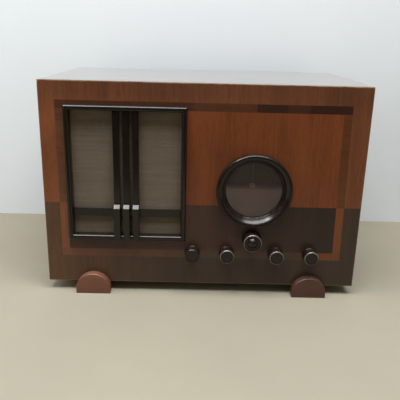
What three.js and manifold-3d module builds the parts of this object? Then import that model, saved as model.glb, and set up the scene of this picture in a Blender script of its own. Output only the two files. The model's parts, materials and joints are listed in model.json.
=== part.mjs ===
// A wooden tabletop valve radio: veneered cabinet on half-round feet, louvred speaker grille, round dial,
// five control knobs, and the works inside: speaker, chassis, tuning capacitor and cord drive.
// Millimetres, +Z up, front facing -Y. The exported group stands on z = 0 with its bounding box centred on x and y.
// Inside it every size is laid out in the cabinet's own frame: x from the middle, y back from the front face,
// z up from the cabinet's underside.
import * as THREE from "three";
import { mergeVertices } from "three/addons/utils/BufferGeometryUtils.js";
import Module from "manifold-3d";

const wasm = await Module();
wasm.setup();

// ---------------------------------------------------------------- driving dimensions
const GAP = 0.3; // between pieces that touch

const CABINET_WIDTH = 500;
const CABINET_HEIGHT = 324;
const CABINET_DEPTH = 296;
const BOARD = 12; // top, sides and bottom
const FRONT_BOARD = 6;

const FOOT_HEIGHT = 16; // clear height under the cabinet
const FOOT_WIDTH = 55;
const FOOT_BOARD = 14; // thickness of the half-round in front of the cabinet
const FOOT_STRAIGHT = 12; // upright part of its sides
const FOOT_RISE = 22; // the arc above them
const FOOT_INSET = 74; // cabinet edge to the middle of a foot
const FOOT_HEEL = 42; // the part that runs back under the cabinet
const REAR_FOOT_LENGTH = 400;
const REAR_FOOT_DEPTH = 24;

const COVER_THICK = 4; // back cover
const COVER_INSET = 8; // cabinet's rear edge to the cover's face
const REBATE = 6; // how far the cover lets into each side
const SCREW_RADIUS = 1.5;
const SCREW_LENGTH = 12;
const SLOT_WIDTH = 46; // the cover's air slots
const SLOT_HEIGHT = 6;
const SLOT_SPACE = 12; // between one slot and the next in a row
const SLOT_COLUMNS = 3;
const SLOT_ROWS = 5;
const SLOT_ROW_PITCH = 20;
const SLOTS_RISE = 50; // chassis top to the lowest slot

const GRILLE_WIDTH = 186;
const GRILLE_SIDE_MARGIN = 37; // cabinet edge to the frame
const GRILLE_FOOT_MARGIN = 75; // cabinet underside to the frame
const GRILLE_TOP_MARGIN = 35; // frame to the cabinet's top
const MOULDING_WIDTH = 8.5;
const MOULDING_PROUD = 8;
const MOULDING_LAP = 6; // the part of the moulding that lies on the front
const BAR_WIDTH = 10;
const BAR_PITCH = 14.8;
const BAR_PROUD = 4;
const BAR_STANDOFF = 3; // bars' backs to the cloth
const FIN_PROUD = 13; // how far the bars' stepped feet stand forward
const FIN_HEIGHT = 60; // frame's lower edge to the step
const FIN_CHAMFER_DEPTH = 5.6; // the step's front corner, cut off
const FIN_CHAMFER_DROP = 4.9;
const CROSSBAR_HEIGHT = 12;
const CROSSBAR_RISE = 38; // frame's lower edge to the crossbar
const CLOTH_THICK = 1;
const BAFFLE_THICK = 9;
const BAFFLE_MARGIN = 10; // round the frame

const SPEAKER_RADIUS = 95;
const CONE_RADIUS = 82.5;
const MAGNET_RADIUS = 42;

const DIAL_SIDE_MARGIN = 170.5; // cabinet edge to the dial's axis
const DIAL_KNOB_SPACE = 5.85; // tuning knob's skirt to the bezel
const BEZEL_RADIUS = 59.5;
const BEZEL_PROUD = 12.5;
const BEZEL_LIP = 44; // clear radius over the glass
const GLASS_THICK = 2.2;
const DIAL_DEPTH = 32; // front face to the scale
const POINTER_HUB = 3.6;
const POINTER_TAIL = 10;
const SHAFT_RADIUS = 3;

const KNOB_RADIUS = 11.3;
const KNOB_LENGTH = 20;
const TUNING_KNOB_RADIUS = 14.4;
const TUNING_KNOB_LENGTH = 21;
const BOSS_RISE = 3; // the domed boss on the tuning knob's face
const KNOB_CLEARANCE = 1; // knob to front
const INNER_KNOB_OFFSET = 39.5;
const OUTER_KNOB_OFFSET = 95.2;
const KNOB_ROW_DROP = 18.8; // chassis top down to the row of knobs
const TUNING_KNOB_RISE = 5.3; // chassis top up to the tuning spindle
const KNOB_SKIRT = 1.08; // a knob's skirt to its rim

const CHASSIS_WIDTH = 284;
const CHASSIS_HEIGHT = 62;
const CHASSIS_FRONT = 64; // front face to the chassis
const SHEET = 1.2; // chassis steel
const VALVE_COLUMN = 112; // dial's axis to the valves beside the capacitor
const CAN_COLUMN = 65;
const SMALL_VALVE_RADIUS = 19;
const LARGE_VALVE_RADIUS = 22;
const CAN = 34; // across a screening can
const SMOOTHING_RADIUS = 17;
const LEAD_RADIUS = 3.5;
const MAINS_OFFSET = 112; // dial's axis to the mains lead
const MAINS_Z = 34;
const SOCKET_OFFSET = 20; // dial's axis to the middle of the sockets
const SOCKET_Z = 36;
const SOCKET_WIDTH = 118;
const SOCKET_HEIGHT = 22;
const SOCKET_PLACES = [-44, -28, -8, 8, 28, 44];

const DRUM_RADIUS = 40; // to the middle of the cord
const SPINDLE_RADIUS = 4; // to the middle of the cord
const CORD_THICK = 1;
const CORD_PLANE = 48; // front face to the cord
const VANE_RADIUS = 26;
const VANE_THICK = 1;
const VANE_SPACE = 1;
const VANES = 4; // moving vanes in each of the two sections

// ---------------------------------------------------------------- places worked out from them
const RIGHT = CABINET_WIDTH / 2;
const INNER_RIGHT = RIGHT - BOARD;
const BACK = CABINET_DEPTH;
const CARCASS_FRONT = FRONT_BOARD + GAP;
const COVER_Y = BACK - COVER_INSET - COVER_THICK;
const GRILLE_X = -RIGHT + GRILLE_SIDE_MARGIN + GRILLE_WIDTH / 2;
const GRILLE_TOP = CABINET_HEIGHT - GRILLE_TOP_MARGIN;
const GRILLE_HEIGHT = GRILLE_TOP - GRILLE_FOOT_MARGIN;
const STEP_Z = GRILLE_FOOT_MARGIN + FIN_HEIGHT;
const CLOTH_Y = FRONT_BOARD + GAP;
const BAFFLE_Y = CLOTH_Y + CLOTH_THICK + GAP;
const SPEAKER_Y = BAFFLE_Y + BAFFLE_THICK + GAP;
const SPEAKER_Z = GRILLE_FOOT_MARGIN + GRILLE_HEIGHT / 2;
const DIAL_X = RIGHT - DIAL_SIDE_MARGIN;
const CHASSIS_BASE = BOARD + GAP;
const CHASSIS_TOP = CHASSIS_BASE + CHASSIS_HEIGHT;
const KNOB_ROW_HEIGHT = CHASSIS_TOP - KNOB_ROW_DROP;
const TUNING_KNOB_HEIGHT = CHASSIS_TOP + TUNING_KNOB_RISE;
const DIAL_HEIGHT = TUNING_KNOB_HEIGHT + TUNING_KNOB_RADIUS * KNOB_SKIRT + DIAL_KNOB_SPACE + BEZEL_RADIUS;
const SPIGOT_RADIUS = BEZEL_LIP + 6.5;
const GLASS_Y = 1.8;
const SCALE_Y = DIAL_DEPTH;
const POINTER_Y = SCALE_Y - 4;
const CHASSIS_BACK = COVER_Y - 3;
const CHASSIS_DEPTH = CHASSIS_BACK - CHASSIS_FRONT;
const BRACKET_FRONT = CHASSIS_FRONT - 5;
const GANG_FRONT = BRACKET_FRONT + 4;
const VANE_PITCH = 2 * (VANE_THICK + VANE_SPACE);
const SECTION_LENGTH = VANES * VANE_PITCH + VANE_THICK;
const SECTION_SPACE = 8;
const GANG_WALL = 2;
const GANG_LENGTH = 2 * (GANG_WALL + SECTION_LENGTH) + 3 * SECTION_SPACE;
const GANG_BACK = GANG_FRONT + GANG_LENGTH;
const STAND_BACK = GANG_BACK + 2;
const GANG_HALF = VANE_RADIUS + 7;
const GANG_BASE = DIAL_HEIGHT - GANG_HALF;
const RUNNING_BORE = SHAFT_RADIUS + 0.5;
const SLOT_COLUMN_PITCH = SLOT_WIDTH + SLOT_SPACE;
const SLOTS_BASE = CHASSIS_TOP + SLOTS_RISE;
const MAINS_X = DIAL_X + MAINS_OFFSET;
const SOCKET_X = DIAL_X + SOCKET_OFFSET;
const FRONT_REACH = Math.max(
  FIN_PROUD,
  FOOT_BOARD + GAP,
  KNOB_LENGTH,
  TUNING_KNOB_LENGTH + BOSS_RISE,
  BEZEL_PROUD,
);

// ---------------------------------------------------------------- finishes
const finish = (color, roughness, metalness = 0) =>
  new THREE.MeshStandardMaterial({ color, roughness, metalness });
const WALNUT = finish(0x6b3418, 0.35);
const VENEER = finish(0x5c3019, 0.3);
const FOOT_WOOD = finish(0x6a4030, 0.5);
const EBONISED = finish(0x1b1613, 0.22);
const RAW_PLY = finish(0xb08d5e, 0.8);
const CLOTH = finish(0x554a3a, 0.95);
const BAKELITE = finish(0x1f1512, 0.18);
const FIBREBOARD = finish(0x5a4028, 0.85);
const GLASS = new THREE.MeshStandardMaterial({
  color: 0x8a8078,
  roughness: 0.05,
  transparent: true,
  opacity: 0.35,
});
const SCALE_PRINT = finish(0x2c1614, 0.4);
const RED = finish(0x9c1f22, 0.4);
const STEEL = finish(0x9a9a98, 0.4, 0.9);
const PLATED = finish(0xa9a798, 0.35, 0.8);
const ALUMINIUM = finish(0xb8bcc0, 0.4, 0.9);
const PAPER = finish(0x2f2a26, 0.95);
const IRON = finish(0x3a3a3c, 0.5, 0.4);
const BULB = finish(0x5a5b60, 0.2, 0.1);
const BRASS = finish(0xb08a45, 0.35, 0.9);
const RUBBER = finish(0x1a1a1a, 0.9);
const LINEN = finish(0x8a7a5a, 0.9);

// ---------------------------------------------------------------- geometry helpers
const v2 = (x, y) => new THREE.Vector2(x, y);

// A closed shell as a manifold-3d solid.
function solid(geometry) {
  const bare = geometry.index ? geometry.toNonIndexed() : geometry.clone();
  bare.deleteAttribute("normal");
  bare.deleteAttribute("uv");
  const merged = mergeVertices(bare, 1e-3);
  return new wasm.Manifold(
    new wasm.Mesh({
      numProp: 3,
      vertProperties: merged.attributes.position.array,
      triVerts: new Uint32Array(merged.index.array),
    }),
  );
}

function geometryOf(made) {
  const mesh = made.getMesh();
  return new THREE.BufferGeometry()
    .setAttribute("position", new THREE.BufferAttribute(mesh.vertProperties, 3))
    .setIndex(new THREE.BufferAttribute(mesh.triVerts, 1));
}

const cut = (base, ...tools) =>
  geometryOf(tools.reduce((made, tool) => made.subtract(solid(tool)), solid(base)));
const join = (...bodies) =>
  geometryOf(bodies.map(solid).reduce((made, body) => made.add(body)));

// A box between two corners.
const block = (x0, x1, y0, y1, z0, z1) =>
  new THREE.BoxGeometry(x1 - x0, y1 - y0, z1 - z0).translate(
    (x0 + x1) / 2,
    (y0 + y1) / 2,
    (z0 + z1) / 2,
  );

// A closed profile of [radius, y] points turned about the Y axis. It is reversed if it would turn inside out.
function turned(points, segments) {
  const area = points.reduce((sum, [r, y], i) => {
    const [r1, y1] = points[(i + 1) % points.length];
    return sum + r * y1 - r1 * y;
  }, 0);
  const profile = points.map(([r, y]) => v2(r, y));
  if (area < 0) profile.reverse();
  const onAxis = profile[0].x === 0 && profile.at(-1).x === 0;
  if (!onAxis) {
    // Start a profile that touches the axis there, and close one that doesn't.
    const start = profile.findIndex(
      (p, i) => p.x === 0 && profile.at(i - 1).x === 0,
    );
    if (start > 0) profile.push(...profile.splice(0, start));
    else profile.push(profile[0].clone());
  }
  return new THREE.LatheGeometry(profile, segments);
}

const turnedUpright = (points, segments) =>
  turned(points, segments).rotateX(Math.PI / 2);

// A cylinder along Y.
const rod = (radius, y0, y1, segments = 12) =>
  new THREE.CylinderGeometry(radius, radius, y1 - y0, segments).translate(
    0,
    (y0 + y1) / 2,
    0,
  );

function outline(points) {
  return new THREE.Shape(points.map(([a, b]) => v2(a, b)));
}

const rectangle = (x0, x1, z0, z1) => [
  [x0, z0],
  [x1, z0],
  [x1, z1],
  [x0, z1],
];

function roundHole(x, z, radius, segments) {
  const points = [];
  for (let i = 0; i < segments; i++) {
    const a = (2 * Math.PI * i) / segments;
    points.push([x + radius * Math.cos(a), z + radius * Math.sin(a)]);
  }
  return points;
}

const withHoles = (shape, holes) => {
  shape.holes = holes.map((h) => new THREE.Path(h.map(([a, b]) => v2(a, b))));
  return shape;
};

const extrude = (shape, depth, curveSegments = 8) =>
  new THREE.ExtrudeGeometry(shape, { depth, bevelEnabled: false, curveSegments });

// An upright plate: a shape drawn in x and z, from y0 back to y0 + thick.
const plate = (shape, y0, thick, curveSegments) =>
  extrude(shape, thick, curveSegments)
    .rotateX(Math.PI / 2)
    .translate(0, y0 + thick, 0);

// A shape drawn in y and z, width wide and centred on x = 0.
const sideways = (shape, width) =>
  extrude(shape, width)
    .rotateX(Math.PI / 2)
    .rotateZ(Math.PI / 2)
    .translate(-width / 2, 0, 0);

// A rectangular moulding with mitred corners, centred on x = z = 0.
// Its section is [distance in from the outer edge, y] points.
function mitredFrame(width, height, section) {
  const positions = [];
  for (const [sx, sz] of [
    [-1, -1],
    [1, -1],
    [1, 1],
    [-1, 1],
  ])
    for (const [inset, y] of section)
      positions.push(sx * (width / 2 - inset), y, sz * (height / 2 - inset));
  const n = section.length;
  const index = [];
  for (let corner = 0; corner < 4; corner++)
    for (let i = 0; i < n; i++) {
      const a = corner * n + i;
      const b = corner * n + ((i + 1) % n);
      const c = ((corner + 1) % 4) * n + i;
      const d = ((corner + 1) % 4) * n + ((i + 1) % n);
      index.push(a, d, b, a, c, d);
    }
  return new THREE.BufferGeometry()
    .setAttribute("position", new THREE.Float32BufferAttribute(positions, 3))
    .setIndex(index);
}

function piece(name, geometry, material, x = 0, y = 0, z = 0) {
  const mesh = new THREE.Mesh(geometry, material);
  mesh.name = name;
  mesh.position.set(x, y, z);
  return mesh;
}

function assembly(...children) {
  const group = new THREE.Group();
  group.add(...children);
  return group;
}

// ---------------------------------------------------------------- controls: knob, shaft and what it turns
// Each knob turns about Y. `x` and `z` are its axis.
const CONTROLS = [
  { name: "tone", x: DIAL_X - OUTER_KNOB_OFFSET, bodyRadius: 12, bodyLength: 14 },
  { name: "volume", x: DIAL_X - INNER_KNOB_OFFSET, bodyRadius: 12, bodyLength: 20 },
  { name: "selectivity", x: DIAL_X + INNER_KNOB_OFFSET, bodyRadius: 12, bodyLength: 12 },
  { name: "waveband", x: DIAL_X + OUTER_KNOB_OFFSET, bodyRadius: 13, bodyLength: 36 },
];
const CONTROL_TURNS = {
  tone: "tone_control",
  volume: "volume_control",
  selectivity: "selectivity_switch",
  waveband: "waveband_switch",
};
const BUSH_RADIUS = 4.8;
const BUSH_FRONT = CHASSIS_FRONT - 7;
const SHAFT_BACK = CHASSIS_FRONT + 6;

// A knob with a flared skirt, a chamfered rim and a dished face, or a domed boss in it.
function knob(radius, length, boss) {
  const face = -length;
  const base = -KNOB_CLEARANCE;
  const bore = SHAFT_RADIUS + GAP;
  const middle = boss
    ? [
        [0, face - BOSS_RISE],
        [radius * 0.2, face - BOSS_RISE + 0.3],
        [radius * 0.35, face - BOSS_RISE + 1.2],
        [radius * 0.54, face + 1],
        [radius * 0.74, face + 1.4],
      ]
    : [
        [0, face + 1.1],
        [radius * 0.5, face + 0.9],
        [radius * 0.76, face + 0.6],
      ];
  return turned(
    [
      ...middle,
      [radius * 0.85, face],
      [radius * 0.94, face],
      [radius, face + 0.9],
      [radius, face + 3.4],
      [radius * 0.94, face + 5.5],
      [radius * 0.95, base - 5],
      [radius * KNOB_SKIRT, base - 2],
      [radius * KNOB_SKIRT, base],
      [bore, base],
      [bore, face + 6],
      [0, face + 6],
    ],
    16,
  );
}

function control({ name, x, bodyRadius, bodyLength }) {
  const bodyFront = CHASSIS_FRONT + SHEET + GAP;
  const bodyBack = bodyFront + bodyLength;
  const body = turned(
    [
      [RUNNING_BORE, BUSH_FRONT],
      [BUSH_RADIUS, BUSH_FRONT],
      [BUSH_RADIUS, bodyFront],
      [bodyRadius, bodyFront],
      [bodyRadius, bodyBack - 1],
      [bodyRadius - 1, bodyBack],
      [0, bodyBack],
      [0, SHAFT_BACK + 1],
      [RUNNING_BORE, SHAFT_BACK + 1],
    ],
    16,
  );
  return [
    piece(CONTROL_TURNS[name], body, PLATED, x, 0, KNOB_ROW_HEIGHT),
    piece(
      `${name}_shaft`,
      rod(SHAFT_RADIUS, 6.5 - KNOB_LENGTH, SHAFT_BACK),
      BRASS,
      x,
      0,
      KNOB_ROW_HEIGHT,
    ),
    piece(`${name}_knob`, knob(KNOB_RADIUS, KNOB_LENGTH, false), BAKELITE, x, 0, KNOB_ROW_HEIGHT),
  ];
}

// ---------------------------------------------------------------- cabinet
function frontPanel() {
  const opening = MOULDING_LAP - GAP;
  const left = GRILLE_X - GRILLE_WIDTH / 2 + opening;
  const holes = [
    rectangle(
      left,
      left + GRILLE_WIDTH - 2 * opening,
      GRILLE_FOOT_MARGIN + opening,
      GRILLE_TOP - opening,
    ),
    roundHole(DIAL_X, DIAL_HEIGHT, SPIGOT_RADIUS + GAP, 32),
    roundHole(DIAL_X, TUNING_KNOB_HEIGHT, SHAFT_RADIUS + 1.5, 12),
    ...CONTROLS.map(({ x }) => roundHole(x, KNOB_ROW_HEIGHT, SHAFT_RADIUS + 1.5, 12)),
  ];
  const face = outline(rectangle(-RIGHT, RIGHT, 0, CABINET_HEIGHT));
  return plate(withHoles(face, holes), 0, FRONT_BOARD);
}

// Screw places in the back cover, as [x, z].
const SCREW_X = INNER_RIGHT + REBATE / 2;
const SCREW_PLACES = [
  ["upper_left", -SCREW_X, CABINET_HEIGHT - BOARD - 28],
  ["upper_right", SCREW_X, CABINET_HEIGHT - BOARD - 28],
  ["lower_left", -SCREW_X, BOARD + 28],
  ["lower_right", SCREW_X, BOARD + 28],
];

// A side board with a rebate for the back cover along its inner rear edge. side is -1 for left and 1 for right.
function sidePanel(side) {
  const section = outline([
    [side * RIGHT, CARCASS_FRONT],
    [side * INNER_RIGHT, CARCASS_FRONT],
    [side * INNER_RIGHT, COVER_Y - GAP],
    [side * (INNER_RIGHT + REBATE), COVER_Y - GAP],
    [side * (INNER_RIGHT + REBATE), BACK],
    [side * RIGHT, BACK],
  ]);
  const board = extrude(section, CABINET_HEIGHT - BOARD - GAP);
  const pilots = SCREW_PLACES.filter(([, x]) => Math.sign(x) === side).map(([, x, z]) =>
    rod(SCREW_RADIUS + GAP, COVER_Y - SCREW_LENGTH, BACK, 8).translate(x, 0, z),
  );
  return cut(board, ...pilots);
}

// A half-round foot in front of the cabinet, with a heel that runs back under it.
function frontFoot() {
  const half = FOOT_WIDTH / 2;
  const radius = (half * half + FOOT_RISE * FOOT_RISE) / (2 * FOOT_RISE);
  const top = FOOT_STRAIGHT + FOOT_RISE;
  const start = Math.asin((FOOT_STRAIGHT - (top - radius)) / radius);
  const shape = new THREE.Shape();
  shape.moveTo(-half, 0);
  shape.lineTo(half, 0);
  shape.lineTo(half, FOOT_STRAIGHT);
  shape.absarc(0, top - radius, radius, start, Math.PI - start, false);
  shape.lineTo(-half, FOOT_STRAIGHT);
  const board = plate(shape, -FOOT_BOARD - GAP, FOOT_BOARD, 16);
  const heelHalf = half - 6;
  const heel = block(-heelHalf, heelHalf, -GAP - 2, FOOT_HEEL, 0, FOOT_HEIGHT - GAP);
  return join(board, heel);
}

// Slots over the valves and over the speaker, the cut-out for the sockets, and the holes for the lead and screws.
function backCover() {
  const coverRight = INNER_RIGHT + REBATE - GAP;
  const front = COVER_Y - 1;
  const back = COVER_Y + COVER_THICK + 1;
  const board = block(
    -coverRight,
    coverRight,
    COVER_Y,
    COVER_Y + COVER_THICK,
    BOARD + GAP,
    CABINET_HEIGHT - BOARD - 2 * GAP,
  );
  const slots = [GRILLE_X, DIAL_X].flatMap((middle) => {
    const made = [];
    for (let column = 0; column < SLOT_COLUMNS; column++)
      for (let row = 0; row < SLOT_ROWS; row++) {
        const x = middle + (column - SLOT_COLUMNS / 2) * SLOT_COLUMN_PITCH + SLOT_SPACE / 2;
        const z = SLOTS_BASE + row * SLOT_ROW_PITCH;
        made.push(block(x, x + SLOT_WIDTH, front, back, z, z + SLOT_HEIGHT));
      }
    return made;
  });
  const socketOpening = block(
    SOCKET_X - SOCKET_WIDTH / 2,
    SOCKET_X + SOCKET_WIDTH / 2,
    front,
    back,
    SOCKET_Z - SOCKET_HEIGHT / 2,
    SOCKET_Z + SOCKET_HEIGHT / 2,
  );
  const leadHole = rod(LEAD_RADIUS + 3.8, front, back, 16).translate(MAINS_X, 0, MAINS_Z);
  const screwHoles = SCREW_PLACES.map(([, x, z]) =>
    rod(SCREW_RADIUS + GAP, front, back, 8).translate(x, 0, z),
  );
  return cut(board, ...slots, socketOpening, leadHole, ...screwHoles);
}

// A round-headed wood screw, driven forwards.
function coverScrew() {
  const face = COVER_Y + COVER_THICK + GAP;
  return turned(
    [
      [0, COVER_Y - SCREW_LENGTH + 1],
      [SCREW_RADIUS, COVER_Y - SCREW_LENGTH + 3],
      [SCREW_RADIUS, face],
      [2.9, face],
      [2.6, face + 1.1],
      [1.6, face + 1.9],
      [0, face + 2.2],
    ],
    10,
  );
}

const cabinet = assembly(
  piece("front_panel", frontPanel(), VENEER),
  piece(
    "top_panel",
    block(-RIGHT, RIGHT, CARCASS_FRONT, BACK, CABINET_HEIGHT - BOARD, CABINET_HEIGHT),
    WALNUT,
  ),
  piece("left_side_panel", sidePanel(-1), WALNUT),
  piece("right_side_panel", sidePanel(1), WALNUT),
  piece(
    "bottom_panel",
    block(-INNER_RIGHT + GAP, INNER_RIGHT - GAP, CARCASS_FRONT, BACK, 0, BOARD),
    RAW_PLY,
  ),
  piece("front_left_foot", frontFoot(), FOOT_WOOD, FOOT_INSET - RIGHT, 0, -FOOT_HEIGHT),
  piece("front_right_foot", frontFoot(), FOOT_WOOD, RIGHT - FOOT_INSET, 0, -FOOT_HEIGHT),
  piece(
    "rear_foot",
    block(
      -REAR_FOOT_LENGTH / 2,
      REAR_FOOT_LENGTH / 2,
      BACK - 20 - REAR_FOOT_DEPTH,
      BACK - 20,
      -FOOT_HEIGHT,
      -GAP,
    ),
    FOOT_WOOD,
  ),
  piece("back_cover", backCover(), FIBREBOARD),
  ...SCREW_PLACES.map(([place, x, z]) =>
    piece(`cover_screw_${place}`, coverScrew(), BRASS, x, 0, z),
  ),
);

// ---------------------------------------------------------------- speaker grille
// The moulding's section: a half-round on the front, with a tongue down into the opening.
function mouldingSection() {
  const crown = 9;
  const shoulder = 3;
  const half = MOULDING_WIDTH / 2;
  const section = [[MOULDING_LAP, -GAP], [0, -GAP]];
  for (let i = 0; i <= crown; i++) {
    const a = Math.PI * (1 - i / crown);
    section.push([
      half + half * Math.cos(a),
      -shoulder - (MOULDING_PROUD - shoulder) * Math.sin(a),
    ]);
  }
  section.push([MOULDING_WIDTH, FRONT_BOARD], [MOULDING_LAP, FRONT_BOARD]);
  return section;
}

// One upright bar, seen from the side: a shallow bar above, and below the step a deeper fin that curves back a
// little to the frame. It is halved over the crossbar, and notched over the frame's lower rail. y and z are from the frame's foot.
function grilleBar() {
  const back = FRONT_BOARD - BAR_STANDOFF;
  const railTop = MOULDING_WIDTH + GAP;
  const railFront = -MOULDING_PROUD - GAP;
  const top = GRILLE_HEIGHT - MOULDING_WIDTH - GAP;
  const halving = FRONT_BOARD - CROSSBAR_DEPTH - GAP;
  const finFoot = -MOULDING_PROUD - 3;
  const shape = new THREE.Shape();
  shape.moveTo(back, top);
  shape.lineTo(-BAR_PROUD, top);
  shape.lineTo(-BAR_PROUD, FIN_HEIGHT);
  shape.lineTo(-FIN_PROUD + FIN_CHAMFER_DEPTH, FIN_HEIGHT);
  shape.lineTo(-FIN_PROUD, FIN_HEIGHT - FIN_CHAMFER_DROP);
  shape.bezierCurveTo(-FIN_PROUD, FIN_HEIGHT * 0.4, -FIN_PROUD + 2, FIN_HEIGHT / 6, finFoot, 1);
  shape.lineTo(railFront, 1);
  shape.lineTo(railFront, railTop);
  shape.lineTo(back, railTop);
  shape.lineTo(back, CROSSBAR_RISE - GAP);
  shape.lineTo(halving, CROSSBAR_RISE - GAP);
  shape.lineTo(halving, CROSSBAR_RISE + CROSSBAR_HEIGHT + GAP);
  shape.lineTo(back, CROSSBAR_RISE + CROSSBAR_HEIGHT + GAP);
  return sideways(shape, BAR_WIDTH);
}

const CROSSBAR_DEPTH = 5;
const CROSSBAR_HALF = GRILLE_WIDTH / 2 - MOULDING_WIDTH - GAP;
const BAFFLE_HALF_WIDTH = GRILLE_WIDTH / 2 + BAFFLE_MARGIN;
const BAFFLE_HALF_HEIGHT = GRILLE_HEIGHT / 2 + BAFFLE_MARGIN;

function baffleBoard() {
  const face = outline(
    rectangle(-BAFFLE_HALF_WIDTH, BAFFLE_HALF_WIDTH, -BAFFLE_HALF_HEIGHT, BAFFLE_HALF_HEIGHT),
  );
  return plate(withHoles(face, [roundHole(0, 0, CONE_RADIUS, 36)]), BAFFLE_Y, BAFFLE_THICK);
}

const grille = assembly(
  piece(
    "grille_frame",
    mitredFrame(GRILLE_WIDTH, GRILLE_HEIGHT, mouldingSection()),
    EBONISED,
    0,
    0,
    GRILLE_HEIGHT / 2,
  ),
  piece(
    "grille_crossbar",
    block(
      -CROSSBAR_HALF,
      CROSSBAR_HALF,
      FRONT_BOARD - CROSSBAR_DEPTH,
      FRONT_BOARD,
      CROSSBAR_RISE,
      CROSSBAR_RISE + CROSSBAR_HEIGHT,
    ),
    EBONISED,
  ),
  ...["left", "middle", "right"].map((side, i) =>
    piece(`grille_bar_${side}`, grilleBar(), EBONISED, (i - 1) * BAR_PITCH),
  ),
  piece(
    "grille_cloth",
    block(
      -BAFFLE_HALF_WIDTH,
      BAFFLE_HALF_WIDTH,
      CLOTH_Y,
      CLOTH_Y + CLOTH_THICK,
      -BAFFLE_MARGIN,
      GRILLE_HEIGHT + BAFFLE_MARGIN,
    ),
    CLOTH,
  ),
  piece("baffle_board", baffleBoard(), RAW_PLY, 0, 0, GRILLE_HEIGHT / 2),
);
grille.position.set(GRILLE_X, 0, GRILLE_FOOT_MARGIN);

// ---------------------------------------------------------------- loudspeaker, about its own axis
const COIL_INNER = 12.8;
const COIL_OUTER = 14;
const BASKET_DEPTH = 56;
const MAGNET_FRONT = BASKET_DEPTH + GAP;
const MAGNET_LENGTH = 45;

function speakerBasket() {
  const rim = CONE_RADIUS + 1;
  const throat = MAGNET_RADIUS + 2;
  const shell = turned(
    [
      [SPEAKER_RADIUS, 0],
      [SPEAKER_RADIUS, 1.6],
      [rim + 3, 1.6],
      [throat + 2, BASKET_DEPTH - 2],
      [throat + 2, BASKET_DEPTH],
      [COIL_OUTER + 2, BASKET_DEPTH],
      [COIL_OUTER + 2, BASKET_DEPTH - 1.6],
      [throat, BASKET_DEPTH - 1.6],
      [rim, 3],
      [rim, 0],
    ],
    24,
  );
  const windows = [];
  for (let i = 0; i < 6; i++)
    windows.push(
      new THREE.BoxGeometry(34, BASKET_DEPTH * 0.6, SPEAKER_RADIUS)
        .translate(0, BASKET_DEPTH * 0.5, SPEAKER_RADIUS / 2 + 20)
        .rotateY((i * Math.PI) / 3),
    );
  return cut(shell, ...windows);
}

// Cone, surround, dust cap and voice-coil former in one.
function speakerCone() {
  return turned(
    [
      [0, 34],
      [8, 35.5],
      [15, 39.5],
      [CONE_RADIUS - 8, 2],
      [CONE_RADIUS - 5, 0.4],
      [CONE_RADIUS, 0.4],
      [CONE_RADIUS, 1.8],
      [CONE_RADIUS - 4, 1.8],
      [CONE_RADIUS - 7, 3.6],
      [COIL_OUTER, 42],
      [COIL_OUTER, MAGNET_FRONT + 7],
      [COIL_INNER, MAGNET_FRONT + 7],
      [COIL_INNER, 40.5],
      [7.5, 37],
      [0, 35.6],
    ],
    24,
  );
}

function speakerMagnet() {
  const back = MAGNET_FRONT + MAGNET_LENGTH;
  return turned(
    [
      [0, MAGNET_FRONT],
      [COIL_INNER - 1.2, MAGNET_FRONT],
      [COIL_INNER - 1.2, MAGNET_FRONT + 16],
      [COIL_OUTER + 1.2, MAGNET_FRONT + 16],
      [COIL_OUTER + 1.2, MAGNET_FRONT],
      [MAGNET_RADIUS, MAGNET_FRONT],
      [MAGNET_RADIUS, back - 6],
      [MAGNET_RADIUS - 4, back],
      [0, back],
    ],
    20,
  );
}

const speaker = assembly(
  piece("speaker_basket", speakerBasket(), STEEL),
  piece("speaker_cone", speakerCone(), PAPER),
  piece("speaker_magnet", speakerMagnet(), IRON),
  piece(
    "output_transformer",
    block(-22, 22, MAGNET_FRONT + 6, MAGNET_FRONT + 38, MAGNET_RADIUS + GAP, MAGNET_RADIUS + 38),
    IRON,
  ),
);
speaker.position.set(GRILLE_X, SPEAKER_Y, SPEAKER_Z);

// ---------------------------------------------------------------- dial
function dialBezel() {
  const seat = GLASS_Y - GAP;
  const spigotInner = BEZEL_LIP + 2.5;
  return turned(
    [
      [BEZEL_RADIUS, -GAP],
      [BEZEL_RADIUS, -BEZEL_PROUD + 3.5],
      [BEZEL_RADIUS - 1, -BEZEL_PROUD + 1],
      [BEZEL_RADIUS - 3, -BEZEL_PROUD],
      [BEZEL_RADIUS - 6.5, -BEZEL_PROUD + 0.5],
      [BEZEL_LIP + 6, -BEZEL_PROUD + 3],
      [BEZEL_LIP + 2.5, -BEZEL_PROUD * 0.4],
      [BEZEL_LIP, -0.6],
      [BEZEL_LIP, seat],
      [spigotInner, seat],
      [spigotInner, GLASS_Y + GLASS_THICK + 2],
      [SPIGOT_RADIUS, GLASS_Y + GLASS_THICK + 2],
      [SPIGOT_RADIUS, -GAP],
    ],
    32,
  );
}

function dialPointer() {
  const hub = rod(POINTER_HUB, POINTER_Y, POINTER_Y + 2, 16);
  const blade = plate(
    outline([
      [-1, -POINTER_TAIL],
      [1, -POINTER_TAIL],
      [0.4, BEZEL_LIP - 7],
      [-0.4, BEZEL_LIP - 7],
    ]),
    POINTER_Y + 0.5,
    1,
  );
  return cut(join(hub, blade), rod(SHAFT_RADIUS - 1 + GAP, POINTER_Y + 1, POINTER_Y + 4));
}

const SCALE_RADIUS = SPIGOT_RADIUS + 6;
const DRUM_FLANGE = DRUM_RADIUS + 1.5;
const LAMP_RADIUS = 5;
const LAMP_OFFSET = DRUM_FLANGE + LAMP_RADIUS + 3;
const PILLAR_RADIUS = 2.5;

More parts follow.
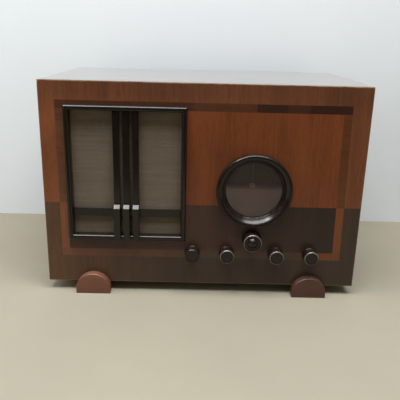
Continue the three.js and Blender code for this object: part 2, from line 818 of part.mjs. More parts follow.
// The scale plate, on two pillars that stand on the capacitor stand either side of the cord.
function dialScale() {
  const back = SCALE_Y + SHEET;
  const disc = turned(
    [
      [RUNNING_BORE + 1, SCALE_Y],
      [SCALE_RADIUS, SCALE_Y],
      [SCALE_RADIUS, back],
      [RUNNING_BORE + 1, back],
    ],
    32,
  );
  const pillars = [-1, 1].map((side) =>
    rod(PILLAR_RADIUS, back - SHEET / 2, BRACKET_FRONT - GAP).translate(
      side * (GANG_HALF - PILLAR_RADIUS - 1),
      0,
      -DRUM_FLANGE,
    ),
  );
  return join(disc, ...pillars);
}

// A small bulb in its holder, on the back of the scale.
function dialLamp() {
  const base = SCALE_Y + SHEET + GAP;
  return turned(
    [
      [0, base],
      [LAMP_RADIUS, base],
      [LAMP_RADIUS, base + 9],
      [3.6, base + 10],
      [LAMP_RADIUS, base + 15],
      [3, base + 18.2],
      [0, base + 19],
    ],
    12,
  );
}

const dial = assembly(
  piece("dial_bezel", dialBezel(), BAKELITE),
  piece(
    "dial_glass",
    rod(BEZEL_LIP + 2.2, GLASS_Y, GLASS_Y + GLASS_THICK, 32),
    GLASS,
  ),
  piece("dial_scale", dialScale(), SCALE_PRINT),
  piece("dial_pointer", dialPointer(), RED),
  piece("dial_lamp", dialLamp(), BRASS, 0, 0, LAMP_OFFSET),
);
dial.position.set(DIAL_X, 0, DIAL_HEIGHT);

// ---------------------------------------------------------------- tuning: knob, spindle, cord, drum and capacitor
const GROOVE_HALF = 1.5;

// A pulley's rim from one side to the other, as [radius, y] points: a flange, a groove for the cord, a flange.
const grooved = (flange, pitch) => [
  [flange, CORD_PLANE - GROOVE_HALF - 1.5],
  [flange, CORD_PLANE - GROOVE_HALF],
  [pitch - CORD_THICK / 2 - GAP, CORD_PLANE - GROOVE_HALF + 0.5],
  [pitch - CORD_THICK / 2 - GAP, CORD_PLANE + GROOVE_HALF - 0.5],
  [flange, CORD_PLANE + GROOVE_HALF],
  [flange, CORD_PLANE + GROOVE_HALF + 1.5],
];

function driveDrum() {
  const rimInner = DRUM_RADIUS - 6;
  const hubRadius = 9;
  const bore = SHAFT_RADIUS + GAP;
  return turned(
    [
      [bore, CORD_PLANE - 5],
      [hubRadius, CORD_PLANE - 5],
      [hubRadius, CORD_PLANE - 1],
      [rimInner, CORD_PLANE - 1],
      [rimInner, CORD_PLANE - GROOVE_HALF - 1.5],
      ...grooved(DRUM_FLANGE, DRUM_RADIUS),
      [rimInner, CORD_PLANE + GROOVE_HALF + 1.5],
      [rimInner, CORD_PLANE + 1],
      [hubRadius, CORD_PLANE + 1],
      [hubRadius, CORD_PLANE + 7],
      [bore, CORD_PLANE + 7],
    ],
    24,
  );
}

function tuningSpindle() {
  const flange = SPINDLE_RADIUS + 1.5;
  return turned(
    [
      [0, 6.5 - TUNING_KNOB_LENGTH],
      [SHAFT_RADIUS, 6.5 - TUNING_KNOB_LENGTH],
      [SHAFT_RADIUS, CORD_PLANE - GROOVE_HALF - 1.5],
      ...grooved(flange, SPINDLE_RADIUS),
      [SHAFT_RADIUS, CORD_PLANE + GROOVE_HALF + 1.5],
      [SHAFT_RADIUS, BRACKET_FRONT + 8],
      [0, BRACKET_FRONT + 8],
    ],
    12,
  );
}

// The cord's loop round drum and spindle, as a closed path in x and z about the dial's axis.
class CordLoop extends THREE.Curve {
  constructor(centreDistance) {
    super();
    const lean = Math.asin((DRUM_RADIUS - SPINDLE_RADIUS) / centreDistance);
    const run = Math.sqrt(centreDistance ** 2 - (DRUM_RADIUS - SPINDLE_RADIUS) ** 2);
    this.lean = lean;
    this.centreDistance = centreDistance;
    this.overDrum = DRUM_RADIUS * (Math.PI + 2 * lean);
    this.underSpindle = SPINDLE_RADIUS * (Math.PI - 2 * lean);
    this.run = run;
    this.total = this.overDrum + this.underSpindle + 2 * run;
  }
  arc(radius, centreZ, angle) {
    return new THREE.Vector3(radius * Math.cos(angle), CORD_PLANE, centreZ + radius * Math.sin(angle));
  }
  getPoint(t, target = new THREE.Vector3()) {
    const { lean, centreDistance, overDrum, underSpindle, run, total } = this;
    const drumEnd = Math.PI + lean;
    let s = (t % 1) * total;
    if (s < overDrum) return target.copy(this.arc(DRUM_RADIUS, 0, -lean + s / DRUM_RADIUS));
    s -= overDrum;
    const leftTop = this.arc(DRUM_RADIUS, 0, drumEnd);
    const leftFoot = this.arc(SPINDLE_RADIUS, -centreDistance, drumEnd);
    if (s < run) return target.lerpVectors(leftTop, leftFoot, s / run);
    s -= run;
    if (s < underSpindle)
      return target.copy(this.arc(SPINDLE_RADIUS, -centreDistance, drumEnd + s / SPINDLE_RADIUS));
    s -= underSpindle;
    const rightFoot = this.arc(SPINDLE_RADIUS, -centreDistance, -lean);
    return target.lerpVectors(rightFoot, this.arc(DRUM_RADIUS, 0, -lean), s / run);
  }
}

// A ring of short cord sections: every section is a hexagon square to the loop.
function driveCord() {
  const loop = new CordLoop(DIAL_HEIGHT - TUNING_KNOB_HEIGHT);
  const stops = [];
  // A straight step across the drum's arc sags towards the groove by less than the gap.
  const step = 2 * DRUM_RADIUS * Math.acos(1 - (GAP - 0.04) / DRUM_RADIUS);
  const arcSteps = Math.ceil(loop.overDrum / step);
  const spindleSteps = 5;
  for (let i = 0; i <= arcSteps; i++) stops.push((loop.overDrum * i) / arcSteps);
  const foot = loop.overDrum + loop.run;
  for (let i = 0; i <= spindleSteps; i++) stops.push(foot + (loop.underSpindle * i) / spindleSteps);
  const sides = 6;
  const positions = [];
  for (const s of stops) {
    const at = loop.getPoint(s / loop.total);
    const ahead = loop.getPoint((s + 0.01) / loop.total).sub(at).normalize();
    const out = new THREE.Vector3(ahead.z, 0, -ahead.x);
    for (let k = 0; k < sides; k++) {
      const a = (2 * Math.PI * k) / sides;
      const r = CORD_THICK / 2;
      positions.push(
        at.x + out.x * r * Math.cos(a),
        at.y + r * Math.sin(a),
        at.z + out.z * r * Math.cos(a),
      );
    }
  }
  const index = [];
  for (let i = 0; i < stops.length; i++)
    for (let k = 0; k < sides; k++) {
      const j = (i + 1) % stops.length;
      const m = (k + 1) % sides;
      index.push(i * sides + k, i * sides + m, j * sides + m);
      index.push(i * sides + k, j * sides + m, j * sides + k);
    }
  return new THREE.BufferGeometry()
    .setAttribute("position", new THREE.Float32BufferAttribute(positions, 3))
    .setIndex(index);
}

// A channel of sheet metal: a web with two upright walls, open above or (down) below. Drawn in y and z.
const channel = (y0, y1, wall, z0, z1, down) => {
  const web = down ? z1 : z0;
  const rim = down ? z0 : z1;
  const inner = down ? web - wall : web + wall;
  return outline([
    [y0, rim],
    [y0, web],
    [y1, web],
    [y1, rim],
    [y1 - wall, rim],
    [y1 - wall, inner],
    [y0 + wall, inner],
    [y0 + wall, rim],
  ]);
};

function gangFrame() {
  const shape = channel(GANG_FRONT, GANG_BACK, GANG_WALL, -GANG_HALF, 20, false);
  const bearing = rod(RUNNING_BORE, GANG_FRONT - 1, GANG_BACK + 1, 16);
  return cut(sideways(shape, 2 * GANG_HALF), bearing);
}

// Where each section of vanes starts.
const SECTION_STARTS = [0, 1].map(
  (i) => GANG_FRONT + GANG_WALL + SECTION_SPACE + i * (SECTION_LENGTH + SECTION_SPACE),
);

// The fixed plates, on the right of the shaft, held by a rail down their outer edges.
function gangStator() {
  const rail = block(
    VANE_RADIUS + 2,
    GANG_HALF,
    GANG_FRONT + GANG_WALL + GAP,
    GANG_BACK - GANG_WALL - GAP,
    -5,
    5,
  );
  const plates = [];
  for (const start of SECTION_STARTS)
    for (let i = 0; i <= VANES; i++) {
      const y = start + i * VANE_PITCH;
      plates.push(block(7, VANE_RADIUS + 3, y, y + VANE_THICK, -VANE_RADIUS, VANE_RADIUS));
    }
  return join(rail, ...plates);
}

// The shaft and its half-round vanes. At rest they point down, half in mesh with the fixed plates.
function gangRotor() {
  const shaft = turned(
    [
      [0, POINTER_Y + 1 + GAP],
      [SHAFT_RADIUS - 1, POINTER_Y + 1 + GAP],
      [SHAFT_RADIUS - 1, POINTER_Y + 4],
      [SHAFT_RADIUS, POINTER_Y + 4],
      [SHAFT_RADIUS, GANG_BACK + 4],
      [0, GANG_BACK + 4],
    ],
    16,
  );
  const vane = new THREE.Shape();
  vane.moveTo(-VANE_RADIUS, 1);
  vane.absarc(0, 0, VANE_RADIUS, Math.PI, 2 * Math.PI, false);
  vane.lineTo(VANE_RADIUS, 1);
  const vanes = [];
  for (const start of SECTION_STARTS)
    for (let i = 0; i < VANES; i++)
      vanes.push(plate(vane, start + VANE_PITCH / 2 + i * VANE_PITCH, VANE_THICK, 8));
  return join(shaft, ...vanes);
}

// The stand that carries the capacitor over the chassis. The tuning spindle turns in its front wall.
function gangStand() {
  const shape = channel(
    BRACKET_FRONT,
    STAND_BACK,
    SHEET,
    CHASSIS_TOP + GAP,
    GANG_BASE - GAP,
    true,
  );
  const bearing = rod(RUNNING_BORE, BRACKET_FRONT - 1, BRACKET_FRONT + SHEET + 1, 16).translate(
    0,
    0,
    TUNING_KNOB_HEIGHT,
  );
  return cut(sideways(shape, 2 * GANG_HALF), bearing);
}

const tuningDrive = assembly(
  piece("drive_drum", driveDrum(), BRASS),
  piece("drive_cord", driveCord(), LINEN),
  piece("gang_frame", gangFrame(), STEEL),
  piece("gang_stator", gangStator(), ALUMINIUM),
  piece("gang_rotor", gangRotor(), ALUMINIUM),
);
tuningDrive.position.set(DIAL_X, 0, DIAL_HEIGHT);

const tuningControl = assembly(
  piece("tuning_knob", knob(TUNING_KNOB_RADIUS, TUNING_KNOB_LENGTH, true), BAKELITE),
  piece("tuning_spindle", tuningSpindle(), BRASS),
);
tuningControl.position.set(DIAL_X, 0, TUNING_KNOB_HEIGHT);

// ---------------------------------------------------------------- chassis and what stands on it
function chassis() {
  const half = CHASSIS_WIDTH / 2;
  const tray = block(-half, half, CHASSIS_FRONT, CHASSIS_BACK, CHASSIS_BASE, CHASSIS_TOP);
  const hollow = block(
    SHEET - half,
    half - SHEET,
    CHASSIS_FRONT + SHEET,
    CHASSIS_BACK - SHEET,
    CHASSIS_BASE - 1,
    CHASSIS_TOP - SHEET,
  );
  const bushes = CONTROLS.map(({ x }) =>
    rod(BUSH_RADIUS + GAP, CHASSIS_FRONT - 1, CHASSIS_FRONT + SHEET + 1).translate(
      x - DIAL_X,
      0,
      KNOB_ROW_HEIGHT,
    ),
  );
  const leadHole = rod(LEAD_RADIUS + 6, CHASSIS_BACK - SHEET - 1, CHASSIS_BACK + 1).translate(
    MAINS_X - DIAL_X,
    0,
    MAINS_Z,
  );
  return cut(tray, hollow, ...bushes, leadHole);
}

// A valve on its base: envelope with a shoulder, and a cap on top. `wide` is the envelope's radius.
const valve = (wide, tall) =>
  turnedUpright(
    [
      [0, 0],
      [15, 0],
      [15, 26],
      [13, 28],
      [wide * 0.82, 36],
      [wide, 46],
      [wide, tall * 0.55],
      [wide * 0.72, tall * 0.78],
      [wide * 0.55, tall * 0.86],
      [4.5, tall - 9],
      [4.5, tall],
      [0, tall],
    ],
    14,
  );

const CAN_HEIGHT = 72;
const CAN_CORNER = 6;

function screeningCan() {
  const half = CAN / 2 - CAN_CORNER;
  const shape = new THREE.Shape();
  for (const [i, [sx, sz]] of [
    [1, -1],
    [1, 1],
    [-1, 1],
    [-1, -1],
  ].entries())
    shape.absarc(sx * half, sz * half, CAN_CORNER, (i - 1) * (Math.PI / 2), i * (Math.PI / 2), false);
  return extrude(shape, CAN_HEIGHT, 4);
}

const smoothingCan = () =>
  turnedUpright(
    [
      [0, 0],
      [SMOOTHING_RADIUS, 0],
      [SMOOTHING_RADIUS, 3],
      [SMOOTHING_RADIUS - 1.5, 3],
      [SMOOTHING_RADIUS - 1.5, 70],
      [SMOOTHING_RADIUS - 3.5, 72],
      [0, 72],
    ],
    16,
  );

// Laminated core with its winding showing front and back, and a mounting flange.
const mainsTransformer = () =>
  join(
    block(-38, 38, -15, 15, 3, 62),
    block(-25, 25, -29, 29, 13, 52),
    block(-40, 40, -22, 22, 0, 4),
  );

function socketPlate() {
  const face = outline(
    rectangle(
      GAP - SOCKET_WIDTH / 2,
      SOCKET_WIDTH / 2 - GAP,
      GAP - SOCKET_HEIGHT / 2,
      SOCKET_HEIGHT / 2 - GAP,
    ),
  );
  const holes = SOCKET_PLACES.map((x) => roundHole(x, 0, 2, 10));
  const front = CHASSIS_BACK + GAP;
  return plate(withHoles(face, holes), front, COVER_Y + COVER_THICK - front);
}

// A rubber bush, grooved to sit in the back cover, with a hole for the mains lead.
function mainsGrommet() {
  const inside = COVER_Y - GAP;
  const outside = COVER_Y + COVER_THICK + GAP;
  const neck = LEAD_RADIUS + 3.4;
  const collar = LEAD_RADIUS + 5;
  return turned(
    [
      [LEAD_RADIUS, inside - 2],
      [collar, inside - 2],
      [collar, inside],
      [neck, inside],
      [neck, outside],
      [collar, outside],
      [collar - 1.2, outside + 2.6],
      [LEAD_RADIUS, outside + 3],
    ],
    16,
  );
}

// Where pieces of these half widths stand in a row from y0 back to y1. The clear spaces before, between and after
// them are shared out in the proportions given.
function inRow(y0, y1, halves, spaces) {
  const total = (values) => values.reduce((sum, value) => sum + value, 0);
  const share = (y1 - y0 - 2 * total(halves)) / total(spaces);
  return halves.map(
    (half, i) => y0 + share * total(spaces.slice(0, i + 1)) + 2 * total(halves.slice(0, i)) + half,
  );
}

const [MIXER_Y, AMPLIFIER_Y, OUTPUT_Y] = inRow(
  CHASSIS_FRONT,
  CHASSIS_BACK,
  [SMALL_VALVE_RADIUS, SMALL_VALVE_RADIUS, LARGE_VALVE_RADIUS],
  [21, 27, 21, 28],
);
const [FIRST_CAN_Y, SECOND_CAN_Y] = inRow(CHASSIS_FRONT, CHASSIS_BACK, [CAN / 2, CAN / 2], [56, 38, 55]);
const [SMOOTHING_Y, RECTIFIER_Y] = inRow(
  STAND_BACK,
  CHASSIS_BACK,
  [SMOOTHING_RADIUS, LARGE_VALVE_RADIUS],
  [42, 11, 23],
);

const standing = (name, geometry, material, x, y) =>
  piece(name, geometry, material, x, y, CHASSIS_TOP + GAP);

const works = assembly(
  piece("chassis", chassis(), STEEL),
  piece("gang_stand", gangStand(), STEEL),
  standing("mixer_valve", valve(SMALL_VALVE_RADIUS, 100), BULB, VALVE_COLUMN, MIXER_Y),
  standing("amplifier_valve", valve(SMALL_VALVE_RADIUS, 100), BULB, VALVE_COLUMN, AMPLIFIER_Y),
  standing("output_valve", valve(LARGE_VALVE_RADIUS, 112), BULB, VALVE_COLUMN, OUTPUT_Y),
  standing("rectifier_valve", valve(LARGE_VALVE_RADIUS, 106), BULB, 0, RECTIFIER_Y),
  standing("if_transformer_first", screeningCan(), ALUMINIUM, CAN_COLUMN, FIRST_CAN_Y),
  standing("if_transformer_second", screeningCan(), ALUMINIUM, CAN_COLUMN, SECOND_CAN_Y),
  standing("smoothing_capacitor", smoothingCan(), ALUMINIUM, -8, SMOOTHING_Y),
  standing("mains_transformer", mainsTransformer(), IRON, -80, CHASSIS_BACK - 48),
);
works.position.x = DIAL_X;

const rearFittings = assembly(
  piece("socket_plate", socketPlate(), BAKELITE, SOCKET_X, 0, SOCKET_Z),
  piece("mains_grommet", mainsGrommet(), RUBBER, MAINS_X, 0, MAINS_Z),
);

// ---------------------------------------------------------------- the whole radio, stood on z = 0
const radio = assembly(
  cabinet,
  grille,
  speaker,
  dial,
  tuningDrive,
  tuningControl,
  works,
  rearFittings,
  ...CONTROLS.flatMap(control),
);
radio.position.set(0, (FRONT_REACH - CABINET_DEPTH) / 2, FOOT_HEIGHT);

export default assembly(radio);
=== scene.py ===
"""Looks for a wooden tabletop valve radio: veneers, polish, cloth, bakelite, and the fine shapes of the pieces
that show. Everything is in metres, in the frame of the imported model: +Z up, and the front faces -Y."""

import json
import math

import bmesh
import bpy
import numpy as np
from mathutils import Matrix, Vector


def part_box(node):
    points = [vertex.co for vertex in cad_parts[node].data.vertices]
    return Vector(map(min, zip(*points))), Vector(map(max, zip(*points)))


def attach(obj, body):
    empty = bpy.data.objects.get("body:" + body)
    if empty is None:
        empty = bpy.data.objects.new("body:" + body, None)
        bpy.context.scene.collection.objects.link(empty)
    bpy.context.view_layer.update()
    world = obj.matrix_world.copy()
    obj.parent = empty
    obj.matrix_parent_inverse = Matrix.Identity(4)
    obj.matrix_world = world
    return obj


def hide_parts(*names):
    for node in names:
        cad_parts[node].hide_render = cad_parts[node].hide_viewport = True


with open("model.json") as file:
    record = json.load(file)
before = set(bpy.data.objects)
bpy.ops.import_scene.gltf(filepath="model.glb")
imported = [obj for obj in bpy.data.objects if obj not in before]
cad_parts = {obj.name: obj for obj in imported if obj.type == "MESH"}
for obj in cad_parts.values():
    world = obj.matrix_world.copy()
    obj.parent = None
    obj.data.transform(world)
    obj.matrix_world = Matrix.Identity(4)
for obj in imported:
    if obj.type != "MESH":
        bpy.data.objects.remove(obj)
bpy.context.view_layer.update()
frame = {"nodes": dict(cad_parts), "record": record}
NODES = frame["nodes"]
MM = 0.001

# ---------------------------------------------------------------- places, from the frame
PANEL_LOW, PANEL_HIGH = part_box("front_panel")
FRONT = PANEL_LOW.y
CABINET_LOW = PANEL_LOW
CABINET_HIGH = Vector((PANEL_HIGH.x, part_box("top_panel")[1].y, PANEL_HIGH.z))
CABINET_MIDDLE = (CABINET_LOW + CABINET_HIGH) / 2
CABINET_HALF = (CABINET_HIGH - CABINET_LOW) / 2
BOTTOM = PANEL_LOW.z
GRILLE_LOW, GRILLE_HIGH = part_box("grille_frame")
STEP_HEIGHT = BOTTOM + 135 * MM  # the line where the veneers change over, level with the fins' step
PANEL_GAP = 0.3 * MM  # between the front panel and a piece that lies on it


def middle(node):
    low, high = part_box(node)
    return (low + high) / 2


# ---------------------------------------------------------------- surfaces
def softened(corners, radius, steps=5, closed=True):
    """A polyline with each corner rounded. Between a point one radius before a corner (or less than half the
    edge) and one as far after it runs the quadratic curve that has the corner as its control point."""
    p = np.asarray(corners, float)
    radius = np.broadcast_to(np.asarray(radius, float), (len(p),))[:, None]
    before, after = np.roll(p, 1, 0) - p, np.roll(p, -1, 0) - p
    reach = [np.minimum(radius, 0.45 * np.linalg.norm(e, axis=1, keepdims=True)) for e in (before, after)]
    a, c = (p + e / np.linalg.norm(e, axis=1, keepdims=True) * r for e, r in zip((before, after), reach))
    t = np.linspace(0, 1, steps)[None, :, None]
    curve = (1 - t) ** 2 * a[:, None] + 2 * t * (1 - t) * p[:, None] + t**2 * c[:, None]
    if closed:
        return curve.reshape(-1, p.shape[1])
    return np.concatenate([p[:1], curve[1:-1].reshape(-1, p.shape[1]), p[-1:]])


def finished(name, mesh, material, crease=35):
    """The mesh as an object with merged points and outward faces, smooth but for creases over an angle."""
    work = bmesh.new()
    work.from_mesh(mesh)
    bmesh.ops.remove_doubles(work, verts=work.verts, dist=1e-6)
    bmesh.ops.dissolve_degenerate(work, edges=work.edges, dist=1e-7)
    bmesh.ops.recalc_face_normals(work, faces=work.faces)
    work.to_mesh(mesh)
    work.free()
    mesh.polygons.foreach_set("use_smooth", np.ones(len(mesh.polygons), bool))
    mesh.set_sharp_from_angle(angle=math.radians(crease))
    obj = bpy.data.objects.new(name, mesh)
    bpy.context.scene.collection.objects.link(obj)
    for m in material if isinstance(material, (list, tuple)) else [material]:
        mesh.materials.append(m)
    return obj


def grid_faces(rows, columns, wrap_rows, wrap_columns):
    """Quads between neighbouring points of a grid of rows by columns, closed round in either direction."""
    i, j = np.meshgrid(
        np.arange(rows if wrap_rows else rows - 1),
        np.arange(columns if wrap_columns else columns - 1),
        indexing="ij",
    )
    i2, j2 = (i + 1) % rows, (j + 1) % columns
    return np.stack([i * columns + j, i2 * columns + j, i2 * columns + j2, i * columns + j2], -1).reshape(-1, 4)


def grid_mesh(name, points, wrap_rows=False, wrap_columns=False, caps=False):
    """A mesh over a grid of points, rows by columns by xyz. Caps close the first and the last row."""
    rows, columns = points.shape[:2]
    faces = grid_faces(rows, columns, wrap_rows, wrap_columns).tolist()
    if caps:
        faces += [list(range(columns)), list(range((rows - 1) * columns, rows * columns))]
    mesh = bpy.data.meshes.new(name)
    mesh.from_pydata(points.reshape(-1, 3), [], faces)
    return mesh


def turned_points(profile, centre, segments):
    """Each profile point (r, y) goes round the Y axis through centre: (r cos a, y, r sin a)."""
    a = np.linspace(0, 2 * np.pi, segments, endpoint=False)
    r, y = profile[:, :1], profile[:, 1:]
    ring = np.stack([r * np.cos(a), y + 0 * a, r * np.sin(a)], -1)
    return ring + np.asarray(centre)


def upright_points(profile, centre, segments):
    """Each profile point (r, z) goes round the Z axis through centre: (r cos a, r sin a, z)."""
    a = np.linspace(0, 2 * np.pi, segments, endpoint=False)
    r, z = profile[:, :1], profile[:, 1:]
    return np.stack([r * np.cos(a), r * np.sin(a), z + 0 * a], -1) + np.asarray(centre)


def joined(name, meshes):
    """Several meshes as one, from pairs of a mesh and the number of the material slot that its faces take."""
    work = bmesh.new()
    for mesh, index in meshes:
        start = len(work.faces)
        work.from_mesh(mesh)
        work.faces.ensure_lookup_table()
        for face in work.faces[start:]:
            face.material_index = index
        bpy.data.meshes.remove(mesh)
    mesh = bpy.data.meshes.new(name)
    work.to_mesh(mesh)
    work.free()
    return mesh


def eased_board(outline, start, end, ease):
    """The flat outlines of a board from its one face to its other, and the place of each through its thickness.
    Both rims are quarter rounds: as an angle a runs from 0 to 90 degrees, the outline moves in by
    ease (1 - sin a) while its place moves by ease (1 - cos a), and the other way about at the far face."""
    p = np.asarray(outline, float)
    along = np.roll(p, -1, 0) - np.roll(p, 1, 0)
    inward = np.stack([-along[:, 1], along[:, 0]], -1)
    inward /= np.linalg.norm(inward, axis=1, keepdims=True)
    inward *= np.sign(np.sum(p[:, 0] * np.roll(p[:, 1], -1) - p[:, 1] * np.roll(p[:, 0], -1)))
    a = np.linspace(0, np.pi / 2, 5)
    inset = np.concatenate([ease * (1 - np.sin(a)), ease * (1 - np.cos(a))])
    through = np.concatenate([start + ease * (1 - np.cos(a)), end - ease * (1 - np.sin(a))])
    flat = p[None] + inset[:, None, None] * inward[None]
    return flat, np.broadcast_to(through[:, None], flat.shape[:2])


def slab(name, outline, y_front, y_back, ease):
    """A board with eased rims from an outline in x and z, through its thickness along y."""
    xz, y = eased_board(outline, y_front, y_back, ease)
    return grid_mesh(name, np.stack([xz[..., 0], y, xz[..., 1]], -1), wrap_columns=True, caps=True)


def mitred(name, section, half_width, half_height, centre):
    """A frame with mitred corners. Each section point (inset, y) goes round a rectangle inset all round."""
    inset, y = section[:, 0], section[:, 1]
    corners = np.array([[-1, -1], [1, -1], [1, 1], [-1, 1]], float)
    x = corners[:, None, 0] * (half_width - inset)
    z = corners[:, None, 1] * (half_height - inset)
    points = np.stack([x, np.broadcast_to(y, x.shape), z], -1) + np.asarray(centre)
    return grid_mesh(name, points, wrap_rows=True, wrap_columns=True)


# ---------------------------------------------------------------- material tools
class Web:
    """Short names for making and joining nodes in a tree."""

    def __init__(self, tree):
        self.tree = tree

    def node(self, kind, values=(), **settings):
        made = self.tree.nodes.new(kind)
        for key, value in settings.items():
            setattr(made, key, value)
        for key, value in dict(values).items():
            self.put(made.inputs[key], value)
        return made

    def put(self, socket, value):
        if isinstance(value, bpy.types.NodeSocket):
            self.tree.links.new(value, socket)
        elif socket.type == "RGBA" and len(value) == 3:
            socket.default_value = (*value, 1)
        else:
            socket.default_value = value

    def math(self, operation, a, b=0.0, c=0.0, clamp=False):
        return self.node("ShaderNodeMath", {0: a, 1: b, 2: c}, operation=operation, use_clamp=clamp).outputs[0]

    def mix(self, factor, a, b, blend="MIX"):
        made = self.node("ShaderNodeMix", data_type="RGBA", blend_type=blend)
        for socket, value in zip((made.inputs[0], made.inputs[6], made.inputs[7]), (factor, a, b)):
            self.put(socket, value)
        return made.outputs[2]

    def blend(self, factor, a, b):
        made = self.node("ShaderNodeMix", data_type="FLOAT")
        for socket, value in zip(made.inputs[:2], (factor, a)):
            self.put(socket, value)
        self.put(made.inputs[3], b)
        return made.outputs[0]

    def spread(self, value, low, high, to_low=0.0, to_high=1.0):
        values = {"Value": value, "From Min": low, "From Max": high, "To Min": to_low, "To Max": to_high}
        return self.node("ShaderNodeMapRange", values, clamp=True).outputs[0]

    def noise(self, vector, scale, detail=3.0, roughness=0.5, distortion=0.0):
        values = {"Vector": vector, "Scale": scale, "Detail": detail, "Roughness": roughness}
        return self.node("ShaderNodeTexNoise", {**values, "Distortion": distortion}).outputs[0]

    def place(self, vector, shift=(0, 0, 0), turn=(0, 0, 0), scale=(1, 1, 1)):
        values = {"Vector": vector, "Location": shift, "Rotation": turn, "Scale": scale}
        return self.node("ShaderNodeMapping", values).outputs[0]

    def axes(self, vector):
        return self.node("ShaderNodeSeparateXYZ", {0: vector}).outputs

    def use(self, group, **values):
        made = self.node("ShaderNodeGroup", node_tree=group)
        for key, value in values.items():
            self.put(made.inputs[key.replace("_", " ")], value)
        return made.outputs

    def bump(self, height, distance, strength=1.0):
        values = {"Height": height, "Distance": distance, "Strength": strength}
        return self.node("ShaderNodeBump", values).outputs[0]


SOCKETS = {"value": "NodeSocketFloat", "colour": "NodeSocketColor", "vector": "NodeSocketVector"}


def effect(name, inputs, outputs, build):
    """A shader node group. build(web, inputs by name) returns its outputs in order."""
    group = bpy.data.node_groups.new(name, "ShaderNodeTree")
    for socket, kind in inputs.items():
        group.interface.new_socket(socket, in_out="INPUT", socket_type=SOCKETS[kind])
    for socket, kind in outputs.items():
        group.interface.new_socket(socket, in_out="OUTPUT", socket_type=SOCKETS[kind])
    web = Web(group)
    given = web.node("NodeGroupInput").outputs
    results = build(web, {key: given[key] for key in inputs})
    end = web.node("NodeGroupOutput")
    for key, value in zip(outputs, results):
        web.put(end.inputs[key], value)
    return group


def material(name, build, **settings):
    """A material on one Principled BSDF. build(web, object coordinates) returns the linked sockets by name, and
    the other settings are constants on the shader."""
    made = bpy.data.materials.new(name)
    made.use_nodes = True
    made.node_tree.nodes.clear()
    web = Web(made.node_tree)
    shader = web.node("ShaderNodeBsdfPrincipled")
    end = web.node("ShaderNodeOutputMaterial")
    web.put(end.inputs["Surface"], shader.outputs[0])
    coords = web.node("ShaderNodeTexCoord").outputs["Object"]
    for key, value in settings.items():
        web.put(shader.inputs[key.replace("_", " ")], value)
    for key, value in build(web, coords).items():
        web.put(shader.inputs[key.replace("_", " ")], value)
    return made


# ---------------------------------------------------------------- shared effects
def build_wood_grain(web, given):
    """Grain along z: slow figure, streaks a few millimetres wide, and fine dark pores."""
    vector, pale, deep, seed = given["Vector"], given["Pale"], given["Deep"], given["Seed"]
    shift = web.node("ShaderNodeCombineXYZ", {0: seed, 1: seed, 2: seed}).outputs[0]
    moved = web.node("ShaderNodeVectorMath", {0: vector, 1: shift}, operation="ADD").outputs[0]
    figure = web.noise(web.place(moved, scale=(1, 1, 0.16)), 42, 3, 0.55, 0.6)
    streaks = web.noise(web.place(moved, scale=(1, 1, 0.035)), 330, 4, 0.6)
    pores = web.noise(web.place(moved, scale=(1, 1, 0.045)), 1900, 1, 0.5)
    pores = web.spread(pores, 0.60, 0.68)
    cloud = web.noise(moved, 9, 2)
    tone = web.math("MULTIPLY_ADD", web.math("SUBTRACT", figure, 0.5), 1.5, 0.5)
    tone = web.math("ADD", tone, web.math("MULTIPLY", web.math("SUBTRACT", streaks, 0.5), 1.25))
    tone = web.math("ADD", tone, web.math("MULTIPLY", web.math("SUBTRACT", cloud, 0.5), 0.9), clamp=True)
    colour = web.mix(tone, pale, deep)
    colour = web.mix(web.math("MULTIPLY", pores, 0.35), colour, (0.01, 0.006, 0.004))
    return colour, pores


WOOD_GRAIN = effect(
    "Wood grain",
    {"Vector": "vector", "Pale": "colour", "Deep": "colour", "Seed": "value"},
    {"Colour": "colour", "Pores": "value"},
    build_wood_grain,
)


def build_edge_wear(web, given):
    """How near a point is to an edge of a box, from its middle and half sizes: the second smallest of its three
    distances to the faces. It is broken up by noise."""

    def on_vectors(operation, *vectors):
        return web.node("ShaderNodeVectorMath", enumerate(vectors), operation=operation).outputs[0]

    away = on_vectors("ABSOLUTE", on_vectors("SUBTRACT", given["Vector"], given["Middle"]))
    x, y, z = web.axes(on_vectors("SUBTRACT", given["Half"], away))
    smaller = web.math("MINIMUM", x, y)
    second = web.math("MAXIMUM", smaller, web.math("MINIMUM", web.math("MAXIMUM", x, y), z))
    ragged = web.math("MULTIPLY", web.noise(given["Vector"], 60, 5, 0.7), given["Width"])
    return (web.spread(web.math("SUBTRACT", ragged, second), 0.0, 1.2 * MM),)


EDGE_WEAR = effect(
    "Edge wear",
    {"Vector": "vector", "Middle": "vector", "Half": "vector", "Width": "value"},
    {"Mask": "value"},
    build_edge_wear,
)


def build_rectangle(web, given):
    """1 inside a rectangle in x and z, 0 outside."""
    x, _, z = web.axes(given["Vector"])
    sides = [
        web.math("GREATER_THAN", x, given["Left"]),
        web.math("LESS_THAN", x, given["Right"]),
        web.math("GREATER_THAN", z, given["Low"]),
        web.math("LESS_THAN", z, given["High"]),
    ]
    return (
        web.math("MULTIPLY", web.math("MULTIPLY", sides[0], sides[1]), web.math("MULTIPLY", sides[2], sides[3])),
    )


RECTANGLE = effect(
    "Rectangle",
    {"Vector": "vector", "Left": "value", "Right": "value", "Low": "value", "High": "value"},
    {"Mask": "value"},
    build_rectangle,
)


